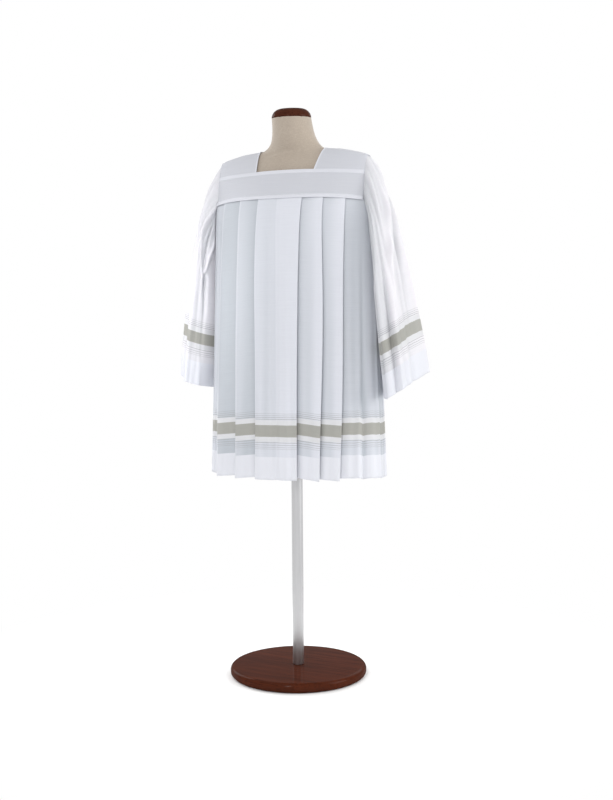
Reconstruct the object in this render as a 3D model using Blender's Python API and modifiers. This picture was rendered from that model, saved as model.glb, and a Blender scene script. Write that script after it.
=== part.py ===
"""Surplice on a dress form.

A white surplice hangs on a limbless dress form: linen torso and neck, wooden
neck cap, steel pole and a round wooden base.  The frame is in metres, +Z up,
with the origin at the middle of the base's underside.  The wearer faces -Y,
so the wearer's left is +X.
"""
import math

import bpy

COLLECTION = "surplice_on_dress_form"

# Cloth
WALL = 0.001            # thickness of every cloth wall
SEAM = 0.0003           # space between two pieces at a seam
ARM_SEAM = 0.0010       # space at the armhole, where the walls meet at an angle
REST_GAP = 0.0009       # space between the form and the cloth that it carries

# Form
BASE_RADIUS = 0.195
BASE_THICKNESS = 0.028
BASE_EDGE = 0.010
POLE_RADIUS = 0.016
NECK_RADIUS = 0.060     # at the neck's root
CAP_RADIUS = 0.0550     # at its top
NECK_LEAN = math.radians(15)
NECK_UPRIGHT = 1.517    # height where the neck's middle is over the pole
NECK_TOP = 1.573
CAP_LEAN = math.radians(2)
CAP_HEIGHT = 0.025
CAP_RIM = 0.006
TORSO_BOTTOM = 0.800
SHOULDER_ROUND = 0.012  # softens the ridge of the shoulder
FRONT_SLOPE = 0.85      # how straight the front slopes from the neck; 0.5 is round
BACK_SLOPE = 0.42
SIDE_SLOPE = 0.50       # the same at the point of the shoulder
SMOOTH_ANGLE = math.radians(40)

# Surplice
HEM_HEIGHT = 0.578
HEM_TILT = 0.022        # rise of the hem for each metre towards the wearer's left
CHEST_SEAM = 1.350      # height where the pleats are sewn to the yoke
CHEST_SEAM_DROP = 0.010
FRONT_NECK_SEAM = 1.427
BACK_NECK_SEAM = 1.440
NECK_SEAM_DROP = 0.008
ARMHOLE_X = 0.228
ARMHOLE_BEND = (1.6, 0.8)   # roundness of the armhole's lower curve
UNDERARM_HEIGHT = 1.180
NECK_HALF_FRONT = 0.088  # half width of the square neckline at its corners
NECK_HALF_TOP = 0.100    # and where it passes over the shoulder

# Half width and depths of the body of the garment, without its pleats
BODY_ROWS = (
    # height, half_width, front_depth, back_depth
    (1.350, 0.2450, 0.1000, 0.1120),
    (1.325, 0.2460, 0.1065, 0.1150),
    (1.290, 0.2470, 0.1115, 0.1175),
    (1.240, 0.2485, 0.1140, 0.1190),
    (1.150, 0.2510, 0.1150, 0.1200),
    (1.000, 0.2550, 0.1165, 0.1215),
    (0.850, 0.2590, 0.1185, 0.1235),
    (0.710, 0.2635, 0.1205, 0.1250),
    (0.578, 0.2675, 0.1230, 0.1270),
)

# Ridge of the shoulders, from the neck outwards, as the cloth lies on it
SHOULDER_ROWS = (
    # x, height
    (0.000, 1.522),
    (0.062, 1.509),
    (0.080, 1.4945),
    (0.100, 1.488),
    (0.150, 1.482),
    (0.200, 1.471),
    (0.215, 1.4665),
    (0.228, 1.4615),
    (0.245, 1.4480),
)

# Crisp fold edges of the knife pleats, from the middle outwards
FRONT_FOLDS_LEFT = (
    # x_top, x_hem
    (0.070, 0.061),
    (0.128, 0.124),
    (0.184, 0.181),
)
FRONT_FOLDS_RIGHT = (
    (0.061, 0.067),
    (0.126, 0.139),
    (0.184, 0.205),
)
BACK_FOLDS = (
    (0.065, 0.066),
    (0.127, 0.133),
    (0.184, 0.196),
)

# Levels of the body's points, as shares of the way from the seam to the hem
BODY_LEVELS = (0.0, 0.03, 0.075, 0.14, 0.26, 0.45, 0.64, 0.83, 1.0)
YOKE_GRID = (5, 25)         # rows and columns of points
SHOULDER_GRID = (15, 7)

PLEAT_STEP = (0.0020, 0.0055)       # space between a pleat's layers, top and hem
PLEAT_UNDERLAP = (0.016, 0.012)     # how far a pleat is tucked under, top and hem
CENTRE_CREASE = (0.0010, 0.0045)    # depth of the soft crease in the middle
CENTRE_CREASE_WIDTH = 0.020
FACE_STEPS = 3
SIDE_STEPS = 8
SIDE_FOLDS = (
    # place, spread, depth at the hem; place runs from the last pleat to the side
    (0.30, 0.13, 0.0050),
    (0.62, 0.12, -0.0060),
)

# The sleeve, from the armhole down to the cuff
SLEEVE_ROWS = (
    # outer_x, outer_z, inner_x, inner_z, middle_y, half_depth, free of the armhole
    (0.2290, 1.4610, 0.2515, 1.1800, 0.000, 0.040, 0.0),
    (0.2500, 1.4330, 0.2525, 1.1700, -0.001, 0.055, 0.4),
    (0.2690, 1.3860, 0.2540, 1.1500, 0.000, 0.067, 0.8),
    (0.2830, 1.3250, 0.2555, 1.1200, 0.004, 0.076, 1.0),
    (0.2980, 1.2550, 0.2570, 1.0800, 0.009, 0.084, 1.0),
    (0.3140, 1.1750, 0.2590, 1.0300, 0.014, 0.091, 1.0),
    (0.3310, 1.0900, 0.2620, 0.9710, 0.020, 0.098, 1.0),
    (0.3460, 1.0040, 0.2650, 0.9130, 0.028, 0.106, 1.0),
    (0.3570, 0.9300, 0.2690, 0.8590, 0.036, 0.113, 1.0),
    (0.3650, 0.8620, 0.2720, 0.8050, 0.042, 0.120, 1.0),
)
LEFT_CUFF_SLANT = 0.022     # this cuff is that much lower in front and higher behind
RIGHT_CUFF_SLANT = -0.008   # and this one a little higher in front
RING_POINTS = 40

# Folds that fall from the armhole.  Turn runs round the sleeve, from 0 on
# the outer side through 0.25 in front to 0.5 at the body
SLEEVE_FOLDS = (
    # turn, spread, depth at armhole, halfway, cuff
    (0.075, 0.030, 0.0000, -0.0050, -0.0020),
    (0.135, 0.030, 0.0000, 0.0050, 0.0040),
    (0.195, 0.028, 0.0000, -0.0075, -0.0050),
    (0.255, 0.030, 0.0000, 0.0060, 0.0055),
    (0.320, 0.030, 0.0000, -0.0070, -0.0030),
    (0.700, 0.032, 0.0000, -0.0060, -0.0040),
    (0.765, 0.032, 0.0000, 0.0055, 0.0050),
    (0.830, 0.030, 0.0000, -0.0065, -0.0040),
    (0.900, 0.032, 0.0000, 0.0045, 0.0030),
)
BODY_CLEARANCE = 0.0022  # least distance from the body's cloth to the sleeve's

# The torso of the form below the shoulders
TORSO_ROWS = (
    # height, half_width, front_depth, back_depth
    (0.800, 0.1600, 0.0900, 0.0950),
    (0.860, 0.1680, 0.0960, 0.1050),
    (0.930, 0.1690, 0.0960, 0.1060),
    (1.010, 0.1560, 0.0900, 0.0920),
    (1.080, 0.1560, 0.0900, 0.0900),
    (1.160, 0.1680, 0.0960, 0.0960),
    (1.240, 0.1860, 0.1010, 0.1000),
    (1.300, 0.2000, 0.0990, 0.0980),
)
TORSO_POINTS = 44
TORSO_SHOULDER = 0.205  # half width of the form at its shoulders
TORSO_SUNK = 0.0022     # the form lies this much lower beside its shoulder ridge
TORSO_SLIM = 0.09       # share by which the chest is slimmer than the cloth
NECK_ROOT = 1.450       # the neck grows out of the chest from here
NECK_BLEND = 12         # how sharply it does so
SHOULDER_LEVELS = (1.350, 1.385, 1.415, 1.438, 1.455, 1.466, 1.474, 1.481, 1.484, 1.487, 1.491, 1.498)
NECK_LEVELS = (1.512, 1.530, 1.550, NECK_TOP)


def lerp(a, b, t):
    return a + (b - a) * t


def read_row(rows, key, value):
    """Read a table at one value of its first column, on a smooth curve."""
    ordered = sorted(rows)
    if key <= ordered[0][0]:
        return ordered[0][value]
    if key >= ordered[-1][0]:
        return ordered[-1][value]
    slopes = [(high[value] - low[value]) / (high[0] - low[0])
              for low, high in zip(ordered, ordered[1:])]
    bends = [slopes[0]]
    for before, after in zip(slopes, slopes[1:]):
        level = before * after <= 0.0
        bends.append(0.0 if level else 2.0 * before * after / (before + after))
    bends.append(slopes[-1])
    place = max(i for i, row in enumerate(ordered[:-1]) if row[0] <= key)
    low, high = ordered[place], ordered[place + 1]
    width = high[0] - low[0]
    t = (key - low[0]) / width
    return ((1 + 2 * t) * (1 - t) ** 2 * low[value] + t ** 2 * (3 - 2 * t) * high[value]
            + width * t * (1 - t) * ((1 - t) * bends[place] - t * bends[place + 1]))


def bump(place, middle, spread):
    """A soft hill of height 1 at the middle."""
    return math.exp(-((place - middle) / spread) ** 2)


def body_size(height, facing):
    """Half width and depth of the body; facing is -1 in front, 1 behind."""
    half_width = read_row(BODY_ROWS, height, 1)
    depth = read_row(BODY_ROWS, height, 2 if facing < 0 else 3)
    return half_width, depth


def body_point(turn, height, facing, lift=0.0):
    """A point at an angle from the middle of the front or back, moved outwards."""
    half_width, depth = body_size(height, facing)
    across = half_width * math.sin(turn)
    along = depth * math.cos(turn)
    normal_x = depth * math.sin(turn)
    normal_y = half_width * math.cos(turn)
    size = math.hypot(normal_x, normal_y)
    return (across + lift * normal_x / size,
            facing * (along + lift * normal_y / size), height)


def low_depth(x, facing):
    """Depth of the body at the chest seam, at one distance from the middle."""
    half_width, depth = body_size(CHEST_SEAM, facing)
    return depth * math.sqrt(1.0 - (x / half_width) ** 2)


def ridge_height(x):
    return read_row(SHOULDER_ROWS, abs(x), 1)


def ridge_reach(height):
    """Half width of the form where its shoulder ridge has this height."""
    low, high = 0.0, TORSO_SHOULDER
    for _ in range(30):
        middle = (low + high) / 2
        if ridge_height(middle) > height:
            low = middle
        else:
            high = middle
    return low


def slope_power(x, facing):
    """How round the shoulder is: near 1 is a straight slope, 0.5 is round."""
    share = min(abs(x) / TORSO_SHOULDER, 1.1)
    return lerp(FRONT_SLOPE if facing < 0 else BACK_SLOPE, SIDE_SLOPE, share)


def blunted(depth):
    """Depth from the ridge, counted so that the ridge is round."""
    return math.hypot(depth, SHOULDER_ROUND) - SHOULDER_ROUND


def upper_y(x, height, facing, inset=0.0):
    """Where the yoke or shoulder lies, at one width and height."""
    ridge = ridge_height(x)
    drop = max(ridge - inset - height, 0.0)
    share = (drop / (ridge - CHEST_SEAM)) ** slope_power(x, facing)
    depth = blunted(low_depth(x, facing)) * share + SHOULDER_ROUND
    return facing * math.sqrt(depth ** 2 - SHOULDER_ROUND ** 2)


def upper_z(x, y):
    """Height of the shoulder at one width and depth."""
    facing = -1 if y < 0 else 1
    share = blunted(abs(y)) / blunted(low_depth(x, facing))
    drop = (ridge_height(x) - CHEST_SEAM) * share ** (1.0 / slope_power(x, facing))
    return ridge_height(x) - drop


def chest_seam(x):
    """Height of the seam between yoke and pleats."""
    return CHEST_SEAM - CHEST_SEAM_DROP * min(abs(x) / ARMHOLE_X, 1.0) ** 4


def neck_seam(x, facing):
    """Height of the seam between yoke and shoulders."""
    middle = FRONT_NECK_SEAM if facing < 0 else BACK_NECK_SEAM
    return middle - NECK_SEAM_DROP * (abs(x) / ARMHOLE_X) ** 2


def hem_height(x):
    return HEM_HEIGHT + HEM_TILT * x


def cloth_y(x, height, facing):
    """Depth of the cloth just above or below the chest seam."""
    if height >= CHEST_SEAM:
        return upper_y(x, height, facing)
    half_width, depth = body_size(height, facing)
    return facing * depth * math.sqrt(1.0 - (x / half_width) ** 2)


def new_object(name, points, faces, material):
    mesh = bpy.data.meshes.new(name)
    mesh.from_pydata(points, [], faces)
    mesh.update()
    mesh.shade_smooth()
    mesh.set_sharp_from_angle(angle=SMOOTH_ANGLE)
    mesh.materials.append(material)
    piece = bpy.data.objects.new(name, mesh)
    parts.objects.link(piece)
    return piece


def cloth_wall(piece):
    """Give an open sheet its thickness, half to each side."""
    wall = piece.modifiers.new("wall", "SOLIDIFY")
    wall.thickness = WALL
    wall.offset = 0.0


def sheet_faces(rows, columns, closed, turned=False):
    """Four-sided faces of a grid of points, closed round or open."""
    faces = []
    last = columns if closed else columns - 1
    for row in range(rows - 1):
        for column in range(last):
            beside = (column + 1) % columns
            face = (row * columns + column, row * columns + beside,
                    (row + 1) * columns + beside, (row + 1) * columns + column)
            faces.append(face[::-1] if turned else face)
    return faces


def arc_turn(x, half_width):
    return math.asin(max(-1.0, min(1.0, x / half_width)))


def pleat_line(folds, down, facing):
    """One half of a section as (turn, lift) pairs, from the middle outwards."""
    height = lerp(CHEST_SEAM, HEM_HEIGHT, down)
    half_width, depth = body_size(height, facing)
    step = lerp(*PLEAT_STEP, down)
    underlap = lerp(*PLEAT_UNDERLAP, down)
    crease = lerp(*CENTRE_CREASE, down)

    def turn_at(x):
        return arc_turn(x, half_width)

    def turn_for(length, turn):
        pace = math.hypot(half_width * math.cos(turn), depth * math.sin(turn))
        return length / pace

    line = [(0.0, step - crease)]
    start = turn_at(CENTRE_CREASE_WIDTH)
    start_lift = step
    line.append((start, start_lift))
    for fold, (x_top, x_hem) in enumerate(folds):
        edge = turn_at(lerp(x_top, x_hem, down))
        first = 1 if fold else 2
        for part in range(first, FACE_STEPS):
            share = part / FACE_STEPS
            line.append((lerp(start, edge, share), lerp(start_lift, step, share)))
        back = turn_for(underlap, edge)
        sunk = (step - start_lift) * back / (edge - start)
        round_turn = turn_for(step / 2, edge)
        line.append((edge, step))
        line.append((edge + round_turn, step / 2))
        line.append((edge, 0.0))
        line.append((edge - back, -sunk))
        line.append((edge - back - round_turn, -sunk - step / 2))
        line.append((edge - back, -sunk - step))
        start = edge
        start_lift = -step
    return line, start, start_lift


def side_line(start, start_lift, down, end):
    """From the last pleat to the side seam, with its soft folds."""
    line = []
    for part in range(SIDE_STEPS + 1):
        share = part / SIDE_STEPS
        lift = start_lift * (1.0 - share) ** 2
        for place, spread, fold_depth in SIDE_FOLDS:
            lift += fold_depth * down ** 1.5 * bump(share, place, spread)
        fade = min(1.0, (1.0 - share) * 4)
        line.append((lerp(start, end, share), lift * fade))
    return line


def body_top(turn, facing):
    """Upper edge of the body: the chest seam, then down the armhole."""
    half_width, _ = body_size(CHEST_SEAM, facing)
    seam_end = arc_turn(ARMHOLE_X, half_width)
    if abs(turn) <= seam_end:
        return chest_seam(half_width * math.sin(turn))
    share = (abs(turn) - seam_end) / (math.pi / 2 - seam_end)
    seam_low = chest_seam(ARMHOLE_X)
    outward, upward = ARMHOLE_BEND
    return lerp(UNDERARM_HEIGHT, seam_low, (1.0 - min(share, 1.0) ** outward) ** upward)


def body_panel(name, facing, folds_negative, folds_positive, material):
    """A pleated panel from the chest seam to the hem."""
    points = []
    columns = 0
    for down in BODY_LEVELS:
        height = lerp(CHEST_SEAM, HEM_HEIGHT, down)
        _, depth = body_size(height, facing)
        end = math.pi / 2 - SEAM / 2 / depth
        halves = []
        for folds in (folds_negative, folds_positive):
            line, start, start_lift = pleat_line(folds, down, facing)
            halves.append(line + side_line(start, start_lift, down, end))
        across = [(-turn, lift) for turn, lift in reversed(halves[0][1:])]
        across += halves[1]
        columns = len(across)
        for turn, lift in across:
            top = body_top(turn, facing)
            here_x = body_size(height, facing)[0] * math.sin(turn)
            level = lerp(top, hem_height(here_x), down)
            points.append(body_point(turn, level, facing, lift))
    faces = sheet_faces(len(BODY_LEVELS), columns, False, turned=facing < 0)
    piece = new_object(name, points, faces, material)
    cloth_wall(piece)
    return piece


def yoke_panel(name, facing, material):
    """The flat band between the chest seam and the neckline."""
    rows, columns = YOKE_GRID
    points = []
    for row in range(rows):
        for column in range(columns):
            x = lerp(-ARMHOLE_X, ARMHOLE_X, column / (columns - 1))
            low = chest_seam(x) + SEAM
            level = lerp(neck_seam(x, facing), low, row / (rows - 1))
            points.append((x, cloth_y(x, level, facing), level))
    faces = sheet_faces(rows, columns, False, turned=facing < 0)
    piece = new_object(name, points, faces, material)
    cloth_wall(piece)
    return piece


def shoulder_panel(name, side, material):
    """From the front yoke over the shoulder to the back yoke."""
    rows, columns = SHOULDER_GRID
    points = []
    for row in range(rows):
        share = row / (rows - 1)
        neck_half = lerp(NECK_HALF_FRONT, NECK_HALF_TOP, math.sin(math.pi * share))
        for column in range(columns):
            x = lerp(neck_half, ARMHOLE_X, column / (columns - 1))
            front = upper_y(x, neck_seam(x, -1) + SEAM, -1)
            back = upper_y(x, neck_seam(x, 1) + SEAM, 1)
            y = lerp(front, back, share)
            points.append((side * x, y, upper_z(x, y)))
    faces = sheet_faces(rows, columns, False, turned=side < 0)
    piece = new_object(name, points, faces, material)
    cloth_wall(piece)
    return piece


def armhole_point(turn):
    """The armhole's edge on the body, turn from 0 at the shoulder through 0.25."""
    facing = -1 if turn <= 0.5 else 1
    part = turn if turn <= 0.5 else 1.0 - turn
    if part <= 0.25:
        share = part / 0.25
        low = low_depth(ARMHOLE_X, facing)
        y = facing * low * math.sin(share * math.pi / 2)
        level = upper_z(ARMHOLE_X, y) - CHEST_SEAM_DROP * share ** 4
        return ARMHOLE_X, y, level
    share = (part - 0.25) / 0.25
    half_width, _ = body_size(CHEST_SEAM, facing)
    seam_end = arc_turn(ARMHOLE_X, half_width)
    angle = lerp(seam_end, math.pi / 2, share)
    return body_point(angle, body_top(angle, facing), facing)


def sleeve_ring(row, down, slant):
    """One ring of the sleeve, from the outer side through the front."""
    outer_x, outer_z, inner_x, inner_z, middle_y, half_depth, free = row
    ring = []
    for number in range(RING_POINTS):
        turn = number / RING_POINTS
        out = math.cos(2 * math.pi * turn)
        front = math.sin(2 * math.pi * turn)
        fold = 0.0
        for place, spread, at_top, halfway, at_cuff in SLEEVE_FOLDS:
            swell = 4 * down * (1 - down) * (halfway - (at_top + at_cuff) / 2)
            fold += (lerp(at_top, at_cuff, down) + swell) * bump(turn, place, spread)
        x = lerp(inner_x, outer_x, (1 + out) / 2) + fold * out
        y = middle_y - (half_depth + fold) * front
        z = lerp(inner_z, outer_z, (1 + out) / 2) - slant * front * down ** 2
        edge_x, edge_y, edge_z = armhole_point(turn)
        x = lerp(edge_x + ARM_SEAM, x, free)
        y = lerp(edge_y, y, free)
        z = lerp(edge_z, z, free)
        ring.append(clear_of_body(x, y, z))
    return ring


def clear_of_body(x, y, z):
    """Push a point of the sleeve out until it clears the body's cloth."""
    facing = -1 if y < 0 else 1
    half_width, depth = body_size(z, facing)
    if abs(y) >= depth or z > CHEST_SEAM:
        return x, y, z
    limit = half_width * math.sqrt(1.0 - (y / depth) ** 2) + BODY_CLEARANCE
    return max(x, limit), y, z


def sleeve(name, side, slant, material):
    """A tube that is open at the armhole and at the cuff."""
    last = len(SLEEVE_ROWS) - 1
    points = []
    for number, row in enumerate(SLEEVE_ROWS):
        for x, y, z in sleeve_ring(row, number / last, slant):
            points.append((side * x, y, z))
    faces = sheet_faces(len(SLEEVE_ROWS), RING_POINTS, True, turned=side < 0)
    piece = new_object(name, points, faces, material)
    cloth_wall(piece)
    return piece


def neck_middle(height):
    return math.tan(NECK_LEAN) * (NECK_UPRIGHT - height)


def torso_ring(height):
    """A level ring of the torso, just under the cloth that it carries."""
    ring = []
    inset = WALL / 2 + REST_GAP
    reach = ridge_reach(height + inset)
    for number in range(TORSO_POINTS):
        angle = 2 * math.pi * number / TORSO_POINTS
        facing = -1 if math.cos(angle) >= 0 else 1
        if height < CHEST_SEAM:
            half_width = read_row(TORSO_ROWS, height, 1)
            depth = read_row(TORSO_ROWS, height, 2 if facing < 0 else 3)
            ring.append((half_width * math.sin(angle), -depth * math.cos(angle), height))
            continue
        x = reach * math.sin(angle)
        sunk = inset + TORSO_SUNK * math.cos(angle) ** 2
        down = (ridge_height(0.0) - height) / (ridge_height(0.0) - CHEST_SEAM)
        y = upper_y(x, height, facing, sunk) * (1.0 - TORSO_SLIM * down)
        y = facing * max(abs(y) - TORSO_SUNK, 0.0)
        neck = math.sqrt(max(NECK_RADIUS ** 2 - x ** 2, 0.0))
        neck_y = max(neck + facing * neck_middle(height), 0.0) if height > NECK_ROOT else 0.0
        y = facing * (abs(y) ** NECK_BLEND + neck_y ** NECK_BLEND) ** (1.0 / NECK_BLEND)
        ring.append((x, y, height))
    return ring


def neck_ring(height):
    """A ring of the neck, which leans forward."""
    share = (height - NECK_LEVELS[0]) / (NECK_TOP - NECK_LEVELS[0])
    slant = CAP_LEAN * share
    radius = lerp(NECK_RADIUS, CAP_RADIUS, share)
    ring = []
    for number in range(TORSO_POINTS):
        angle = 2 * math.pi * number / TORSO_POINTS
        y = -radius * math.cos(angle)
        ring.append((radius * math.sin(angle),
                     neck_middle(height) + y * math.cos(slant),
                     height + y * math.sin(slant)))
    return ring


def torso(material):
    """The linen torso and neck in one piece."""
    rings = [torso_ring(row[0]) for row in TORSO_ROWS]
    rings += [torso_ring(level) for level in SHOULDER_LEVELS]
    rings += [neck_ring(level) for level in NECK_LEVELS]
    points = [point for ring in rings for point in ring]
    faces = sheet_faces(len(rings), TORSO_POINTS, True)
    faces.append(tuple(reversed(range(TORSO_POINTS))))
    top = (len(rings) - 1) * TORSO_POINTS
    faces.append(tuple(range(top, top + TORSO_POINTS)))
    return new_object("form_torso", points, faces, material)


def turned(name, profile, steps, material):
    """A round piece: a profile of (radius, height), top to bottom, spun round."""
    mesh = bpy.data.meshes.new(name)
    points = [(radius, 0.0, height) for radius, height in profile]
    mesh.from_pydata(points, [(i, i + 1) for i in range(len(points) - 1)], [])
    mesh.materials.append(material)
    piece = bpy.data.objects.new(name, mesh)
    parts.objects.link(piece)
    screw = piece.modifiers.new("turn", "SCREW")
    screw.axis = "Z"
    screw.steps = steps
    screw.render_steps = steps
    screw.use_merge_vertices = True
    screw.merge_threshold = 0.0001
    screw.use_smooth_shade = True
    return piece


def neck_cap(material):
    """The wooden cap on top of the neck."""
    profile = [(0.0, CAP_HEIGHT)]
    for part in range(1, 6):
        angle = math.radians(90 - part * 18)
        profile.append((CAP_RADIUS * math.cos(angle) ** 0.8,
                        CAP_RIM + (CAP_HEIGHT - CAP_RIM) * math.sin(angle)))
    profile += [(CAP_RADIUS, 0.0), (0.0, 0.0)]
    piece = turned("neck_cap", profile, 32, material)
    piece.rotation_euler = (CAP_LEAN, 0.0, 0.0)
    piece.location = (0.0, neck_middle(NECK_TOP) - SEAM * math.sin(CAP_LEAN),
                      NECK_TOP + SEAM * math.cos(CAP_LEAN))
    return piece


def pole(material):
    """The pole from the base up to the torso."""
    low = BASE_THICKNESS + SEAM
    high = TORSO_BOTTOM - SEAM
    bpy.ops.mesh.primitive_cylinder_add(vertices=24, radius=POLE_RADIUS, depth=high - low,
                                        location=(0.0, 0.0, (low + high) / 2))
    piece = bpy.context.active_object
    piece.name = "pole"
    piece.data.name = "pole"
    for collection in list(piece.users_collection):
        collection.objects.unlink(piece)
    parts.objects.link(piece)
    piece.data.materials.append(material)
    piece.data.shade_smooth()
    piece.data.set_sharp_from_angle(angle=SMOOTH_ANGLE)
    return piece


def base(material):
    """The round wooden base with a rounded edge."""
    profile = [(0.0, BASE_THICKNESS)]
    steps = 6
    for part in range(steps + 1):
        angle = math.pi / 2 - math.pi * part / steps
        profile.append((BASE_RADIUS - BASE_EDGE + BASE_EDGE * math.cos(angle),
                        BASE_THICKNESS / 2 + BASE_THICKNESS / 2 * math.sin(angle)))
    profile.append((0.0, 0.0))
    return turned("base", profile, 48, material)


def surface(name, color, roughness, metallic=0.0):
    material = bpy.data.materials.new(name)
    material.use_nodes = True
    shader = material.node_tree.nodes["Principled BSDF"]
    shader.inputs["Base Color"].default_value = (*color, 1.0)
    shader.inputs["Roughness"].default_value = roughness
    shader.inputs["Metallic"].default_value = metallic
    return material


for old in list(bpy.data.objects):
    bpy.data.objects.remove(old)
parts = bpy.data.collections.new(COLLECTION)
bpy.context.scene.collection.children.link(parts)

white_cloth = surface("white_cloth", (0.80, 0.80, 0.83), 0.75)
linen = surface("linen", (0.50, 0.44, 0.37), 0.85)
mahogany = surface("mahogany", (0.16, 0.045, 0.025), 0.30)
steel = surface("steel", (0.55, 0.55, 0.56), 0.35, 1.0)

body_panel("front_body", -1, FRONT_FOLDS_RIGHT, FRONT_FOLDS_LEFT, white_cloth)
body_panel("back_body", 1, BACK_FOLDS, BACK_FOLDS, white_cloth)
yoke_panel("front_yoke", -1, white_cloth)
yoke_panel("back_yoke", 1, white_cloth)
shoulder_panel("shoulder_left", 1, white_cloth)
shoulder_panel("shoulder_right", -1, white_cloth)
sleeve("sleeve_left", 1, LEFT_CUFF_SLANT, white_cloth)
sleeve("sleeve_right", -1, RIGHT_CUFF_SLANT, white_cloth)
torso(linen)
neck_cap(mahogany)
pole(steel)
base(mahogany)
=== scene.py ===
"""A white surplice on a dress form: the looks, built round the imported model.

Metres, +Z up, the wearer faces -Y and the wearer's left is +X.  Each cloth
piece is a thin shell on the form of its solid, with its pleats, folds, hem and
stitching.  The form's wood, linen and steel get finer shapes and finishes.
"""
import math

import bmesh
import bpy
import numpy as np
from mathutils import Matrix, Vector


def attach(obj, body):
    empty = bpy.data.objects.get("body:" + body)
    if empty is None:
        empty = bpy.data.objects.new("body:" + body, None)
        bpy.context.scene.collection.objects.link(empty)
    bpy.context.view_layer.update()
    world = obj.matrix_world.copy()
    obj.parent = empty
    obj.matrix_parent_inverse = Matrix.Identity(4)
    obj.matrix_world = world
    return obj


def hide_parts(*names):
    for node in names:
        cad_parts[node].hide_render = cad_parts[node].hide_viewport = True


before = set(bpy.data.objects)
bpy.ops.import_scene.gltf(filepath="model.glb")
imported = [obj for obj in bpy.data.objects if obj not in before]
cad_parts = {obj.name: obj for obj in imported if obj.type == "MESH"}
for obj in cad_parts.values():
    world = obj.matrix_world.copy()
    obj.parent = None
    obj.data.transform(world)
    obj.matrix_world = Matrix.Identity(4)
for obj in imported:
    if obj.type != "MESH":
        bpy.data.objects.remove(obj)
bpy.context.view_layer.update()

# The photo's camera
PHOTO_WIDTH = 613
PHOTO_HEIGHT = 800
FOCAL_PIXELS = 1240.0
AXIS_PIXEL = 296.3          # column where the pole's axis stands
CAMERA_AZIMUTH = math.radians(27.0)
CAMERA_DISTANCE = 3.5
CAMERA_HEIGHT = 1.07
CAMERA_PITCH = math.radians(4.59)
CAMERA_ROLL = math.radians(0.45)

# Floor and light
WHITE = (1.0, 1.0, 1.0)
FLOOR_RADIUS = 6.0
FLOOR_GAP = 0.0002          # the floor lies this far under the base
FLOOR_FADE = (0.25, 1.10)   # it turns white between these distances from the pole
ROOM_LIGHT = 1.0
LIGHT_AIM = (0.0, 0.0, 1.1)
LIGHTS = (
    # name, place, width, height, power, colour
    ("front_light", (0.5, -3.3, 2.0), 0.5, 0.8, 33.0, WHITE),
    ("left_light", (-2.6, 0.9, 1.7), 1.4, 2.2, 42.0, (1.0, 0.99, 0.98)),
    ("right_light", (2.8, 0.5, 1.7), 1.4, 2.2, 42.0, (1.0, 1.0, 0.98)),
    ("back_light", (0.0, 2.8, 2.0), 2.0, 1.6, 18.0, WHITE),
)
BEAM_PLACE = (0.9, -3.3, 1.5)
BEAM_ANGLE = 6.5
BEAMS = (
    # name, aim, power
    ("upper_sleeve_beam", (-0.41, -0.02, 1.20), 640.0),
    ("lower_sleeve_beam", (-0.45, -0.02, 0.93), 700.0),
)

# Cloth
CLOTH = 0.0005              # thickness of the finished cloth
HEM_DEPTH = 0.063           # the hem is turned up this far inside
CUFF_DEPTH = 0.066
HEM_LAYER = 0.0009          # the turned up layer lies this far inside
STRIP_WIDTH = 0.0105        # width of the doubled strips of the yoke
STRIP_LIFT = 0.0009
STRIP_STEP = 0.0016         # the strips rise over this width
YOKE_POINTS = (16, 93)      # rows and columns of points between the edges
YOKE_INNER = 0.222          # the even columns reach this far to each side
YOKE_OVERLAP = 0.0030       # the yoke laps over the tops of the pleats
YOKE_OVER_PLEATS = 0.0022   # and stands this much proud of them
YOKE_RISE = (0.018, 0.014)  # it rises this far above its lower edge, over this width
SHOULDER_TUCK = 0.0045      # the shoulders reach this far under the yokes
SHOULDER_SEAM = (0.970, 0.030)      # where the roll starts and how wide it is, as shares
SEAM_ROLL = 0.0016          # yokes and shoulders roll in this much at the armhole
ROLL_WIDTH = 0.0036
NECK_EDGE = 0.0045          # width of the rolled edge beside the neck
NECK_STEP = 0.0012
NECK_ROLL = 0.0005
THREAD = 0.00022            # half the width of the sewing thread
STITCH_PITCH = 0.0030
STITCH_LENGTH = 0.0022
HEM_STITCH = 0.003          # the stitches lie this far below the top of the hem
STRIP_STITCH = 0.0012       # and this far from the edges of a strip
NECK_STITCH = 0.0008
ARMHOLE_STITCH_ROW = 2      # row of points under the stitches of the armhole
CUFF_COLUMN = 30            # column of points where the height of the cuff's stitches is read

# Stripes, as distances from the lower edge of the cloth
GREY_LOW = 0.1185
GREY_HIGH = 0.1510
SATIN_WIDTH = 0.0135
LOW_LINES = (0.0024, 0.0090, 0.0150, 0.0200)      # from the satin downwards
HIGH_LINES = (0.0028, 0.0078, 0.0128, 0.0180)     # and upwards
LINE_DEPTHS = (0.75, 0.65, 0.50, 0.35)
LINE_WIDTH = 0.0017

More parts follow.
